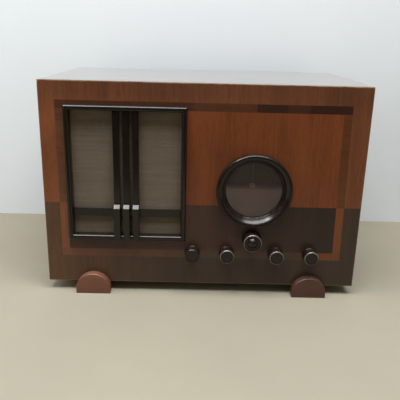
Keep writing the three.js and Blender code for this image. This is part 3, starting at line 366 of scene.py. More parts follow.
def build_polish(web, given):
    """Old polish: slow ripples, fine scuffs and greasy patches. Puts out a roughness and a height."""
    vector = given["Vector"]
    patches = web.noise(vector, 14, 4, 0.6)
    scuffs = web.noise(web.place(vector, scale=(1, 0.3, 0.3)), 700, 2, 0.6)
    rough = web.math("MULTIPLY_ADD", web.math("SUBTRACT", patches, 0.5), given["Variation"], given["Roughness"])
    rough = web.math("ADD", rough, web.math("MULTIPLY", web.spread(scuffs, 0.6, 0.75), 0.1), clamp=True)
    ripple = web.noise(vector, 55, 2)
    return rough, ripple


POLISH = effect(
    "Old polish",
    {"Vector": "vector", "Roughness": "value", "Variation": "value"},
    {"Roughness": "value", "Ripple": "value"},
    build_polish,
)


def build_dust(web, given):
    """Dust on what faces up, thicker in patches."""
    up = web.axes(web.node("ShaderNodeNewGeometry").outputs["Normal"])[2]
    patch = web.noise(given["Vector"], 90, 5, 0.65)
    mask = web.math("MULTIPLY", web.spread(up, 0.2, 0.95), web.spread(patch, 0.35, 0.7))
    mask = web.math("MULTIPLY", mask, given["Amount"])
    return web.mix(mask, given["Colour"], (0.30, 0.27, 0.23)), mask


DUST = effect(
    "Dust",
    {"Vector": "vector", "Colour": "colour", "Amount": "value"},
    {"Colour": "colour", "Mask": "value"},
    build_dust,
)


def build_weave(web, given):
    """Plain weave in x and z. Warp and weft threads swap the upper place from square to square, and each is
    rounded across its width."""
    x, _, z = web.axes(given["Vector"])
    u, v = (web.math("DIVIDE", a, given["Pitch"]) for a in (x, z))
    swap = web.math("FLOORED_MODULO", web.math("ADD", web.math("FLOOR", u), web.math("FLOOR", v)), 2)
    round_u, round_v = (web.math("ABSOLUTE", web.math("SINE", web.math("MULTIPLY", a, math.pi))) for a in (u, v))
    height = web.blend(swap, round_u, round_v)
    return height, swap


WEAVE = effect(
    "Plain weave",
    {"Vector": "vector", "Pitch": "value"},
    {"Height": "value", "Swap": "value"},
    build_weave,
)

# ---------------------------------------------------------------- veneers and wood
# Each veneer's colour at the left and at the right of the panel.
FIELD = ((0.152, 0.0385, 0.0084), (0.152, 0.0385, 0.0082))
FIELD_BELOW = ((0.049, 0.0205, 0.0118), (0.0235, 0.0110, 0.0062))
BORDER = ((0.205, 0.063, 0.0218), (0.148, 0.047, 0.0155))
BORDER_TOP = ((0.132, 0.045, 0.0182), (0.1165, 0.038, 0.0145))
BORDER_BELOW = ((0.087, 0.040, 0.0175), (0.038, 0.021, 0.012))
BAND = ((0.1106, 0.0439, 0.018), (0.100, 0.031, 0.0065))
BAND_BELOW = ((0.189, 0.062, 0.026), (0.150, 0.0415, 0.0099))
BAND_FOOT = ((0.0424, 0.025, 0.017), (0.0424, 0.025, 0.017))
BAND_TOP_DARK = ((0.034, 0.0096, 0.0036), (0.034, 0.0096, 0.0036))
BAND_TOP_PALE = ((0.104, 0.037, 0.0126), (0.065, 0.017, 0.0047))
WALNUT = (0.0875, 0.0335, 0.017)
BAND_OUTER = (226 * MM, 45 * MM, 295 * MM)  # half width, low and high above the cabinet's foot
BAND_WIDTH = 12.5 * MM
BAND_INWARD = 1.3 * MM  # the right-hand band sits this much further in at its foot, and leans inwards above
BAND_LEAN = 0.016
# The top band is made of lengths: where each starts, from the left of the panel to its right, and how dark it is.
BAND_LENGTHS = ((0.0, 0.45), (0.46, 0.15), (0.67, 1.0), (0.77, 0.45), (0.845, 1.0))
# How bright the band is along the foot: where, and how much of the bright veneer.
BAND_FOOT_LENGTHS = ((0.0, 0.8), (0.1, 0.4), (0.38, 0.3), (0.5, 0.1), (0.84, 0.15), (0.91, 0.85))
# Where, from the left to the right of the panel, the colours below the change line run from first to second.
FIELD_BELOW_FADE = (0.55, 0.9)
BORDER_BELOW_FADE = (0.0, 0.35)
BORDER_TOP_FADE = (-25 * MM, 12 * MM)  # from the band's upper edge: where the border turns to its top colour
FIGURE = 0.24  # how far the grain goes to either side of a veneer's colour
# Along the top edge this pale colour is also a painted highlight: the line where the top edge catches the light.
RUBBED_WOOD_AND_HIGHLIGHT = (0.42, 0.30, 0.20)  # bare wood where the polish is rubbed through
WEAR_WIDTH = 3.2 * MM
WEAR_AND_HIGHLIGHT_AT_TOP, WEAR_ELSEWHERE = 0.8, 0.15
ALONG_X = (0, math.radians(90), 0)
UPRIGHT = (0, 0, 0)


def scaled(colour, factor):
    return tuple(c * factor for c in colour)


def veneer(web, vector, colour, seed):
    """Grain about one colour: the colour itself and its pores."""
    pale, deep = scaled(colour, 1 + FIGURE), scaled(colour, 1 - FIGURE)
    return web.use(WOOD_GRAIN, Vector=vector, Pale=pale, Deep=deep, Seed=seed)


def laid(web, vector, side, pair, seed):
    """A veneer whose colour runs from the first of the pair at the left to the second at the right."""
    pale, deep = (
        web.mix(side, scaled(pair[0], factor), scaled(pair[1], factor)) for factor in (1 + FIGURE, 1 - FIGURE)
    )
    return web.use(WOOD_GRAIN, Vector=vector, Pale=pale, Deep=deep, Seed=seed)


def ramp_of(web, value, stops, interpolation):
    made = web.node("ShaderNodeValToRGB", {0: value})
    ramp = made.color_ramp
    ramp.interpolation = interpolation
    for _ in stops[2:]:
        ramp.elements.new(1.0)
    for stop, (start, amount) in zip(ramp.elements, stops):
        stop.position = start
        stop.color = (amount, amount, amount, 1)
    return made.outputs[0]


def front_veneers(web, coords):
    """Counterchanged veneers: above the change line an orange field, a darker band and a brown border, and below
    it a near-black field, an orange band that dims along the foot, and a dark border."""
    half, low, high = BAND_OUTER
    x, _, z = web.axes(coords)
    rise = web.math("MULTIPLY", web.math("SUBTRACT", z, BOTTOM + low), BAND_LEAN)
    lean = web.math("MULTIPLY", web.math("ADD", rise, BAND_INWARD), web.math("GREATER_THAN", x, 0.0))
    leant = web.node("ShaderNodeCombineXYZ", {0: web.math("ADD", x, lean), 2: z}).outputs[0]
    outer = {"Left": -half, "Right": half, "Low": BOTTOM + low, "High": BOTTOM + high}
    inner = {
        "Left": BAND_WIDTH - half,
        "Right": half - BAND_WIDTH,
        "Low": BOTTOM + low + BAND_WIDTH,
        "High": BOTTOM + high - BAND_WIDTH,
    }
    in_outer = web.use(RECTANGLE, Vector=leant, **outer)["Mask"]
    in_inner = web.use(RECTANGLE, Vector=leant, **inner)["Mask"]
    side = web.spread(x, -half, half)
    lower = web.math("LESS_THAN", z, STEP_HEIGHT)
    along_top = web.math("GREATER_THAN", z, inner["High"])
    along_foot = web.math("LESS_THAN", z, inner["Low"])
    across = web.place(coords, turn=ALONG_X)
    field, field_pores = laid(web, coords, side, FIELD, 0.0)
    field_below, below_pores = laid(web, coords, web.spread(side, *FIELD_BELOW_FADE), FIELD_BELOW, 3.1)
    sides = laid(web, coords, side, BORDER, 5.7)[0]
    top = laid(web, coords, side, BORDER_TOP, 5.7)[0]
    border = web.mix(web.spread(z, *(outer["High"] + away for away in BORDER_TOP_FADE)), sides, top)
    border_below = laid(web, coords, web.spread(side, *BORDER_BELOW_FADE), BORDER_BELOW, 2.6)[0]
    band = laid(web, across, side, BAND, 7.3)[0]
    band_below = laid(web, coords, side, BAND_BELOW, 9.9)[0]
    band_foot = laid(web, across, side, BAND_FOOT, 6.4)[0]
    top_dark = laid(web, across, side, BAND_TOP_DARK, 1.2)[0]
    top_pale = laid(web, across, side, BAND_TOP_PALE, 4.8)[0]
    top_band = web.mix(ramp_of(web, side, BAND_LENGTHS, "CONSTANT"), top_pale, top_dark)
    foot_band = web.mix(ramp_of(web, side, BAND_FOOT_LENGTHS, "LINEAR"), band_foot, band_below)
    upper_band = web.mix(along_top, band, top_band)
    lower_band = web.mix(along_foot, band_below, foot_band)
    edge = web.mix(lower, border, border_below)
    ring = web.mix(lower, upper_band, lower_band)
    middle_part = web.mix(lower, field, field_below)
    colour = web.mix(in_inner, web.mix(in_outer, edge, ring), middle_part)
    return colour, web.blend(lower, field_pores, below_pores)


def worn_edges(web, coords, colour):
    """Polish rubbed through along the cabinet's edges: along the top ones most, where the pale line is partly a
    painted highlight on the top edge.
    """
    wear = web.use(EDGE_WEAR, Vector=coords, Middle=CABINET_MIDDLE, Half=CABINET_HALF, Width=WEAR_WIDTH)["Mask"]
    z = web.axes(coords)[2]
    top = CABINET_HIGH.z
    # Strongest along the top edge, where the pale line is partly a painted highlight.
    amount = web.spread(z, top - 8 * MM, top - 3 * MM, WEAR_ELSEWHERE, WEAR_AND_HIGHLIGHT_AT_TOP)
    return web.mix(web.math("MULTIPLY", wear, amount), colour, RUBBED_WOOD_AND_HIGHLIGHT)


def polished(web, coords, colour, pores, roughness, variation):
    """The colour under old polish, which ripples and sinks into the pores."""
    rough, ripple = web.use(POLISH, Vector=coords, Roughness=roughness, Variation=variation)
    height = web.math("SUBTRACT", web.math("MULTIPLY", ripple, 0.3), web.math("MULTIPLY", pores, 0.12))
    return {"Base_Color": colour, "Roughness": rough, "Normal": web.bump(height, 0.4 * MM, 0.5)}


def build_front(web, coords):
    """The front panel's veneers with worn edges under old polish."""
    colour, pores = front_veneers(web, coords)
    return polished(web, coords, worn_edges(web, coords, colour), pores, 0.38, 0.16)


def case_wood(turn, seed):
    """Walnut veneer with worn edges and dust, its grain turned from upright."""

    def build(web, coords):
        colour, pores = veneer(web, web.place(coords, turn=turn), WALNUT, seed)
        colour = worn_edges(web, coords, colour)
        colour, _ = web.use(DUST, Vector=coords, Colour=colour, Amount=0.12)
        return polished(web, coords, colour, pores, 0.22, 0.12)

    return build


def plain_wood(colour, turn, seed, roughness, dust=0.15):
    """Wood of one colour with open pores and dust, its grain turned from upright."""

    def build(web, coords):
        tone, pores = veneer(web, web.place(coords, turn=turn), colour, seed)
        tone, _ = web.use(DUST, Vector=coords, Colour=tone, Amount=dust)
        rough, _ = web.use(POLISH, Vector=coords, Roughness=roughness, Variation=0.12)
        return {"Base_Color": tone, "Roughness": rough, "Normal": web.bump(pores, 0.3 * MM, -0.4)}

    return build


FRONT_VENEER = material(
    "Front veneer",
    build_front,
    Specular_IOR_Level=0.3,
    Coat_Weight=0.12,
    Coat_Roughness=0.2,
)
TOP_WOOD = material("Top veneer", case_wood(ALONG_X, 1.7), Coat_Weight=1.0, Coat_Roughness=0.07)
SIDE_WOOD = material("Side veneer", case_wood(UPRIGHT, 4.4), Coat_Weight=0.3, Coat_Roughness=0.15)
PLY = material("Plywood", plain_wood((0.43, 0.285, 0.155), ALONG_X, 2.2, 0.7, 0.4))
FOOT_WOOD = material("Foot wood", plain_wood((0.156, 0.053, 0.0245), ALONG_X, 6.1, 0.45))
DARK_FOOT_WOOD = material("Darker foot wood", plain_wood((0.071, 0.023, 0.0105), ALONG_X, 8.3, 0.45))
EBONY = material(
    "Ebonised wood",
    plain_wood((0.0095, 0.006, 0.0042), UPRIGHT, 8.8, 0.2, 0.04),
    Specular_IOR_Level=0.35,
)


# ---------------------------------------------------------------- other finishes
THREAD_PITCH = 1.35 * MM
HUB_RADIUS = 2.8 * MM
DIAL_RINGS = (22 * MM, 30 * MM, 38 * MM)
RING_HALF_WIDTH = 0.22 * MM
# The dial's marks: degrees from one to the next, where they start and end from the axis, and half their width.
DIAL_MARKS = (
    (6, 35 * MM, 38 * MM, 0.16 * MM),
    (30, 32.5 * MM, 38 * MM, 0.3 * MM),
    (9, 27.5 * MM, 30 * MM, 0.16 * MM),
)
FAN_HALF_ANGLE = math.radians(92)
INK_STRENGTH = 0.22
CHASSIS_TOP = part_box("chassis")[1].z
SILVER_FROM, SILVER_TO = CHASSIS_TOP + 74.7 * MM, CHASSIS_TOP + 94.7 * MM


def build_cloth(web, coords):
    """Coarse cloth with uneven threads, faded patches and a few dark stains."""
    height, swap = web.use(WEAVE, Vector=coords, Pitch=THREAD_PITCH)
    slub_x = web.noise(web.place(coords, scale=(1, 1, 0.02)), 500, 2)
    slub_z = web.noise(web.place(coords, scale=(0.02, 1, 1)), 500, 2)
    slub = web.blend(swap, slub_x, slub_z)
    patch = web.noise(coords, 22, 4, 0.6)
    fade = web.math("ADD", web.math("MULTIPLY", slub, 0.7), web.math("MULTIPLY", patch, 0.6))
    thread = web.mix(web.spread(fade, 0.45, 0.85), (0.160, 0.109, 0.056), (0.28, 0.203, 0.115))
    colour = web.mix(web.spread(height, 0.0, 0.75), (0.060, 0.044, 0.028), thread)
    stain = web.spread(web.noise(coords, 30, 3, 0.7), 0.62, 0.78)
    colour = web.mix(web.math("MULTIPLY", stain, 0.4), colour, (0.035, 0.028, 0.020))
    return {"Base_Color": colour, "Normal": web.bump(web.math("ADD", height, slub), 0.35 * MM, 0.9)}


def build_bakelite(web, coords):
    """Moulded bakelite: a faint mottle, rubbed polish, and dust in what faces up."""
    mottle = web.noise(coords, 160, 5, 0.65, 0.8)
    colour = web.mix(web.spread(mottle, 0.3, 0.7), (0.008, 0.005, 0.004), (0.015, 0.008, 0.006))
    colour, _ = web.use(DUST, Vector=coords, Colour=colour, Amount=0.05)
    rough, ripple = web.use(POLISH, Vector=coords, Roughness=0.2, Variation=0.08)
    return {"Base_Color": colour, "Roughness": rough, "Normal": web.bump(ripple, 0.2 * MM, 0.4)}


def about_dial(web, coords):
    """x and z from the dial's axis, and the distance from it."""
    centre = middle("dial_bezel")
    x, _, z = web.axes(web.place(coords, shift=(-centre.x, -centre.y, -centre.z)))
    return x, z, web.math("SQRT", web.math("ADD", web.math("MULTIPLY", x, x), web.math("MULTIPLY", z, z)))


def build_pointer(web, coords):
    """A red hub, and a blade blackened with age."""
    radius = about_dial(web, coords)[2]
    fade = web.noise(coords, 300, 3)
    blade = web.mix(fade, (0.045, 0.020, 0.018), (0.020, 0.011, 0.010))
    hub = web.mix(fade, (0.50, 0.03, 0.07), (0.33, 0.02, 0.045))
    return {"Base_Color": web.mix(web.math("LESS_THAN", radius, HUB_RADIUS), blade, hub)}


def build_scale(web, coords):
    """A printed dial: a red-brown face, darker above, whose paler lower part is a painted reflection of the lit
    floor in the glass; three thin rings, and a fan of fine marks between them.
    """
    x, z, radius = about_dial(web, coords)
    angle = web.math("ARCTAN2", x, z)
    rings = [
        web.math("LESS_THAN", web.math("ABSOLUTE", web.math("SUBTRACT", radius, r)), RING_HALF_WIDTH)
        for r in DIAL_RINGS
    ]
    ring = web.math("MAXIMUM", web.math("MAXIMUM", rings[0], rings[1]), rings[2])
    fan = web.math("LESS_THAN", web.math("ABSOLUTE", angle), FAN_HALF_ANGLE)
    marks = []
    for spacing, start, end, half_width in DIAL_MARKS:
        turn = web.math("DIVIDE", angle, math.radians(spacing))
        off = web.math("ABSOLUTE", web.math("SUBTRACT", turn, web.math("ROUND", turn)))
        arc = web.math("MULTIPLY", web.math("MULTIPLY", off, math.radians(spacing)), radius)
        near = web.math("LESS_THAN", arc, half_width)
        beyond, within = web.math("GREATER_THAN", radius, start), web.math("LESS_THAN", radius, end)
        marks.append(web.math("MULTIPLY", near, web.math("MULTIPLY", beyond, within)))
    mark = web.math("MAXIMUM", web.math("MAXIMUM", marks[0], marks[1]), marks[2])
    ink = web.math("MULTIPLY", web.math("MAXIMUM", ring, mark), fan)
    age = web.noise(coords, 40, 4, 0.6)
    upper = web.mix(web.spread(age, 0.3, 0.75), (0.040, 0.009, 0.014), (0.030, 0.006, 0.010))
    # The paler lower colour is a painted reflection of the lit floor in the dial glass, not print. It meets the
    # dark upper part along a ragged line.
    below = web.mix(web.spread(age, 0.3, 0.75), (0.155, 0.056, 0.054), (0.130, 0.044, 0.044))
    ragged = web.math("ADD", z, web.math("MULTIPLY", age, 8 * MM))
    face_with_painted_reflection = web.mix(web.spread(ragged, 6 * MM, 0.0), upper, below)
    return {"Base_Color": web.mix(web.math("MULTIPLY", ink, INK_STRENGTH), face_with_painted_reflection, (0.30, 0.20, 0.14))}


def metal(name, pale, deep, roughness):
    """Dull metal in two tones. It is bare where no dust lies."""

    def build(web, coords):
        cloud = web.noise(coords, 90, 5, 0.65)
        colour = web.mix(web.spread(cloud, 0.35, 0.7), pale, deep)
        colour, mask = web.use(DUST, Vector=coords, Colour=colour, Amount=0.25)
        rough, ripple = web.use(POLISH, Vector=coords, Roughness=roughness, Variation=0.2)
        return {
            "Base_Color": colour,
            "Roughness": rough,
            "Metallic": web.math("SUBTRACT", 1.0, mask),
            "Normal": web.bump(ripple, 0.2 * MM, 0.3),
        }

    return material(name, build)


def matt(name, pale, deep, roughness, scale=120, grit=1500, depth=0.3 * MM, dust=0.2):
    """A dull finish in two tones, with grit of a given fineness and depth, and dust."""

    def build(web, coords):
        cloud = web.noise(coords, scale, 5, 0.65)
        colour = web.mix(web.spread(cloud, 0.3, 0.7), pale, deep)
        colour, _ = web.use(DUST, Vector=coords, Colour=colour, Amount=dust)
        return {"Base_Color": colour, "Normal": web.bump(web.noise(coords, grit, 3, 0.6), depth, 0.6)}

    return material(name, build, Roughness=roughness)


def build_glass(web, coords):
    """Clear glass with a film of dust that shows in its roughness."""
    film = web.noise(coords, 120, 5, 0.7)
    return {"Roughness": web.spread(film, 0.4, 0.8, 0.015, 0.07)}


def build_valve(web, coords):
    """A smoky bulb, silvered towards its top."""
    ragged = web.math("ADD", web.axes(coords)[2], web.math("MULTIPLY", web.noise(coords, 60, 3), 20 * MM))
    silver = web.spread(ragged, SILVER_FROM, SILVER_TO)
    colour = web.mix(silver, (0.030, 0.030, 0.034), (0.50, 0.50, 0.52))
    return {"Base_Color": colour, "Metallic": web.math("MULTIPLY", silver, 0.9)}


CLOTH = material("Speaker cloth", build_cloth, Roughness=0.9, Sheen_Weight=0.25)
BAKELITE = material("Bakelite", build_bakelite, Specular_IOR_Level=0.32)
# The knobs' pale rim is partly wear and partly a painted highlight: the light a chamfered rim catches.
RIM_WEAR_AND_HIGHLIGHT = matt(
    "Bakelite rim, worn and painted highlight",
    (0.19, 0.165, 0.145),
    (0.09, 0.08, 0.07),
    0.28,
    scale=300,
    depth=0.0,
    dust=0.0,
)
SCALE = material("Dial print and painted reflection", build_scale, Roughness=0.6, Specular_IOR_Level=0.1)
GLASS = material("Dial glass", build_glass, Base_Color=(0.96, 0.94, 0.92), Transmission_Weight=1.0, IOR=1.5)
POINTER = material("Pointer enamel", build_pointer, Roughness=0.35)
STEEL = metal("Plated sheet steel", (0.50, 0.48, 0.43), (0.36, 0.34, 0.29), 0.38)
ALUMINIUM = metal("Aluminium", (0.62, 0.63, 0.64), (0.45, 0.46, 0.47), 0.34)
BRASS = metal("Tarnished brass", (0.48, 0.33, 0.14), (0.24, 0.15, 0.06), 0.34)
IRON = matt("Japanned iron", (0.030, 0.030, 0.032), (0.055, 0.050, 0.045), 0.45)
PAPER = matt("Cone paper", (0.040, 0.034, 0.028), (0.024, 0.020, 0.017), 0.9)
RUBBER = matt("Rubber", (0.018, 0.018, 0.018), (0.030, 0.029, 0.028), 0.75)
LINEN = matt("Waxed linen", (0.30, 0.24, 0.15), (0.20, 0.16, 0.10), 0.7, scale=800, dust=0.0)
FIBRE = matt(
    "Fibreboard",
    (0.15, 0.092, 0.052),
    (0.10, 0.062, 0.036),
    0.8,
    scale=300,
    grit=900,
    depth=0.6 * MM,
    dust=0.1,
)
VALVE_GLASS = material("Valve glass", build_valve, Roughness=0.08, Coat_Weight=0.6, Coat_Roughness=0.03)

SLOT_FINISH = {
    "veneer": FRONT_VENEER,
    "case_wood": SIDE_WOOD,
    "plywood": PLY,
    "foot_wood": FOOT_WOOD,
    "ebonised_wood": EBONY,
    "grille_fabric": CLOTH,
    "bakelite": BAKELITE,
    "fibreboard": FIBRE,
    "clear_glass": GLASS,
    "scale_print": SCALE,
    "pointer_red": POINTER,
    "chassis_steel": STEEL,
    "plated_steel": STEEL,
    "aluminium": ALUMINIUM,
    "cone_paper": PAPER,
    "iron": IRON,
    "valve_glass": VALVE_GLASS,
    "brass": BRASS,
    "rubber": RUBBER,
    "cord_linen": LINEN,
}
SLOT_OF = {entry["node"]: entry["material_slot"] for entry in frame["record"]["subparts"]}
# How wide the edges of the square-cut CAD pieces are eased.
EASED_EDGES = {
    "front_panel": 1.2 * MM,
    "top_panel": 0.7 * MM,
    "left_side_panel": 0.6 * MM,
    "right_side_panel": 0.6 * MM,
    "bottom_panel": 0.8 * MM,
    "rear_foot": 1.2 * MM,
    "grille_crossbar": 0.6 * MM,
}


def dress_frame():
    """Every CAD node takes its slot's finish, and square-cut wooden pieces get eased edges."""
    for node, obj in NODES.items():
        obj.data.materials.clear()
        obj.data.materials.append(SLOT_FINISH[SLOT_OF[node]])
    NODES["top_panel"].data.materials[0] = TOP_WOOD
    for node, width in EASED_EDGES.items():
        obj = NODES[node]
        weld = obj.modifiers.new("Weld", "WELD")
        weld.merge_threshold = 1e-6
        bevel = obj.modifiers.new("Eased edges", "BEVEL")
        bevel.width = width
        bevel.segments = 2
        bevel.limit_method = "ANGLE"
        bevel.angle_limit = math.radians(40)


def stand_for(obj, node, body):
    """obj rides on the node's body and stands for the node."""
    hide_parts(node)
    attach(obj, body)


# ---------------------------------------------------------------- knobs
SKIRT_FLARE = 1.08  # the skirt's radius, as a multiple of the knob's
BOSS_RISE = 3 * MM  # how far the tuning knob's boss stands out past its rim
KNOB_BORE = 3.3 * MM
KNOB_WEB = 6 * MM  # from the knob's face to the end of its bore
RIM_WIDTH = 1.2 * MM


def knob(node, body, boss, worn=True):
    """A moulded knob: a dished face inside a chamfered rim, a waist, and a flared skirt at the panel. Its profile
    (r, y) goes round the Y axis."""
    low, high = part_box(node)
    centre = (low + high) / 2
    r = (high.x - low.x) / 2 / SKIRT_FLARE
    face = (low.y + BOSS_RISE) if boss else low.y
    base = high.y
    if boss:
        inner = [(0, -3), (0.18, -2.75), (0.34, -1.8), (0.5, 0.3), (0.57, 1.6), (0.7, 1.8), (0.84, 1.8)]
    else:
        inner = [(0, 0.9), (0.5, 0.85), (0.76, 0.8)]
    front = np.array([(a * r, face + b * MM) for a, b in inner])
    side = np.array(
        [
            (0.86 * r, face + 0.15 * MM),
            (r - 1.1 * MM, face),
            (r, face + 1.1 * MM),
            (r, face + 3.6 * MM),
            (0.94 * r, face + 5.5 * MM),
            (0.95 * r, base - 5 * MM),
            (SKIRT_FLARE * r, base - 2 * MM),
            (SKIRT_FLARE * r, base),
            (KNOB_BORE, base),
            (KNOB_BORE, face + KNOB_WEB),
            (0, face + KNOB_WEB),
        ]
    )
    profile = softened(np.concatenate([front, side]), 0.3 * MM, closed=False)
    mesh = grid_mesh(node, turned_points(profile, (centre.x, 0, centre.z), 96), wrap_columns=True)
    moulding = finished(f"{node}_moulding", mesh, [BAKELITE, RIM_WEAR_AND_HIGHLIGHT if worn else BAKELITE])
    # Chamfer faces near the rim take the pale rim colour, partly wear and partly a painted highlight.
    for polygon in moulding.data.polygons:
        away = math.hypot(polygon.center.x - centre.x, polygon.center.z - centre.z)
        chamfered = -0.95 < polygon.normal.y < -0.3
        if away > r - RIM_WIDTH and chamfered and polygon.center.y < face + 2 * MM:
            polygon.material_index = 1
    stand_for(moulding, node, body)


def make_knobs():
    """The four small knobs and the tuning knob. The tone knob has no pale rim, which stands for wear and a painted
    highlight.
    """
    for name in ("tone", "volume", "selectivity", "waveband"):
        knob(f"{name}_knob", name, boss=False, worn=name != "tone")
    knob("tuning_knob", "tuning", boss=True)


# ---------------------------------------------------------------- dial
BEZEL_FACE = 15.5 * MM  # how wide the bezel is from its outside to its lip


def bezel():
    """The dial's escutcheon: upright outside, with its crest near the outer edge and a broad face that falls
    inwards to the glass, and a spigot through the panel. Its profile (r, y) goes round the Y axis."""
    low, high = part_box("dial_bezel")
    centre = (low + high) / 2
    outer = (high.x - low.x) / 2
    lip = outer - BEZEL_FACE
    foot = FRONT - PANEL_GAP
    crest = low.y
    roll = [
        (outer, foot),
        (outer, crest + 3.5 * MM),
        (outer - 1.0 * MM, crest + 1.0 * MM),
        (outer - 3.0 * MM, crest),
        (outer - 6.5 * MM, crest + 0.5 * MM),
        (lip + 6.0 * MM, crest + 3.0 * MM),
        (lip + 2.5 * MM, FRONT - 0.4 * (FRONT - crest)),
        (lip, FRONT - 0.6 * MM),
        (lip, FRONT + 1.5 * MM),
        (lip + 2.5 * MM, FRONT + 1.5 * MM),
        (lip + 2.5 * MM, high.y),
        (lip + 6.5 * MM, high.y),
        (lip + 6.5 * MM, foot),
    ]
    radii = np.array([0.4, 1.5, 1.2, 1.2, 2.0, 2.6, 2.6, 0.8, 0.2, 0.2, 0.4, 0.4, 0.2]) * MM
    profile = softened(roll, radii, steps=7)
    points = turned_points(profile, (centre.x, 0, centre.z), 160)
    mesh = grid_mesh("bezel", points, wrap_rows=True, wrap_columns=True)
    stand_for(finished("dial_escutcheon", mesh, BAKELITE), "dial_bezel", "cabinet")


# ---------------------------------------------------------------- grille
def grille_frame():
    """The ebonised moulding. Its section is a half ellipse, width/2 (1 + cos a) across and a sine outwards, on a
    shoulder, with a lap over the panel and a tongue into it. The section goes round the opening with mitres."""
    half_width = (GRILLE_HIGH.x - GRILLE_LOW.x) / 2
    half_height = (GRILLE_HIGH.z - GRILLE_LOW.z) / 2
    proud = FRONT - GRILLE_LOW.y
    width, lap, shoulder = 8.5 * MM, 6 * MM, 3 * MM
    a = np.linspace(np.pi, 0, 17)
    bead = np.stack(
        [width / 2 * (1 + np.cos(a)), FRONT - shoulder - (proud - shoulder) * np.sin(a)],
        -1,
    )
    section = np.concatenate(
        [
            [[lap, FRONT - PANEL_GAP], [0, FRONT - PANEL_GAP]],
            bead,
            [[width, GRILLE_HIGH.y], [lap, GRILLE_HIGH.y]],
        ]
    )
    centre = ((GRILLE_LOW.x + GRILLE_HIGH.x) / 2, 0, (GRILLE_LOW.z + GRILLE_HIGH.z) / 2)
    mesh = mitred("moulding", section, half_width, half_height, centre)
    stand_for(finished("grille_moulding", mesh, EBONY, crease=28), "grille_frame", "cabinet")


def grille_bar(node):
    """An upright bar with a stepped fin at its foot. Its side outline in y and z is a cubic curve down the fin's
    front, then straight lines round the notches for the frame's rail and the crossbar. It runs through the bar's
    width with eased rims."""
    low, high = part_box(node)
    foot = GRILLE_LOW.z
    step = foot + 60 * MM
    back = high.y
    rail_front, rail_top = FRONT - 8.3 * MM, foot + 8.8 * MM
    notch_front, notch_low, notch_high = FRONT + 0.7 * MM, foot + 37.7 * MM, foot + 50.3 * MM
    upper_front, chamfer_end = FRONT - 4 * MM, FRONT - 7.4 * MM
    t = np.linspace(0, 1, 24)[:, None]
    controls = [(-13, 55.1), (-13, 24), (-11, 10), (-11, 1)]
    a, b, c, d = (np.array([FRONT + y * MM, foot + z * MM]) for y, z in controls)
    sweep = (1 - t) ** 3 * a + 3 * t * (1 - t) ** 2 * b + 3 * t**2 * (1 - t) * c + t**3 * d
    rest = [
        (rail_front, foot + 1 * MM),
        (rail_front, rail_top),
        (back, rail_top),
        (back, notch_low),
        (notch_front, notch_low),
        (notch_front, notch_high),
        (back, notch_high),
        (back, high.z),
        (upper_front, high.z),
        (upper_front, step),
        (chamfer_end, step),
    ]
    yz, x = eased_board(np.concatenate([sweep, rest]), low.x, high.x, 0.7 * MM)
    mesh = grid_mesh(node, np.concatenate([x[..., None], yz], -1), wrap_columns=True, caps=True)
    stand_for(finished(f"{node}_carving", mesh, EBONY, crease=32), node, "cabinet")


def speaker_cloth():
    """The cloth stretched over the baffle: a flat grid over (u, v) that ripples where it was pulled, by a sine
    across u whose phase swings with v, dying away to nothing at all four edges."""
    low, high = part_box("grille_cloth")
    x = np.linspace(low.x, high.x, 80)
    z = np.linspace(low.z, high.z, 92)
    zz, xx = np.meshgrid(z, x, indexing="ij")
    u, v = (xx - low.x) / (high.x - low.x), (zz - low.z) / (high.z - low.z)
    ripple = np.sin(9.4 * u + 2.1 * np.sin(5 * v)) * np.sin(np.pi * v)
    y = (low.y + high.y) / 2 + 0.12 * MM * ripple * np.sin(np.pi * u)
    mesh = grid_mesh("cloth", np.stack([xx, y, zz], -1))
    cloth = finished("speaker_cloth", mesh, CLOTH)
    stand_for(cloth, "grille_cloth", "cabinet")
    thick = cloth.modifiers.new("Thickness", "SOLIDIFY")
    thick.thickness = 0.5 * MM
    thick.offset = 0


def make_grille():
    """The moulding, the three bars and the cloth."""
    grille_frame()
    for side in ("left", "middle", "right"):
        grille_bar(f"grille_bar_{side}")
    speaker_cloth()


# ---------------------------------------------------------------- feet
def front_foot(node, wood):
    """A half-round board with eased edges in front of the cabinet, and the block behind it that carries it. The
    board's top is the arc through three points, at the tops of its two straight sides and at its crown."""
    low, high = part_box(node)
    middle_x, half = (low.x + high.x) / 2, (high.x - low.x) / 2
    rise = high.z - low.z - 12 * MM
    radius = (half**2 + rise**2) / (2 * rise)
    start = math.asin((radius - rise) / radius)
    a = np.linspace(start, math.pi - start, 49)
    arc = np.stack([middle_x + radius * np.cos(a), high.z - radius + radius * np.sin(a)], -1)
    outline = np.concatenate([[[low.x, low.z], [high.x, low.z]], arc])
    board = slab("board", outline, low.y, FRONT - PANEL_GAP, 1.1 * MM)
    left, right = middle_x - (half - 6 * MM), middle_x + (half - 6 * MM)
    top = BOTTOM - PANEL_GAP
    block = [(left, low.z), (right, low.z), (right, top), (left, top)]
    heel = slab("heel", softened(block, 1.5 * MM, 4), FRONT - 1 * MM, high.y, 0.8 * MM)
    mesh = joined(node, [(board, 0), (heel, 0)])
    stand_for(finished(f"{node}_block", mesh, wood, crease=30), node, "cabinet")


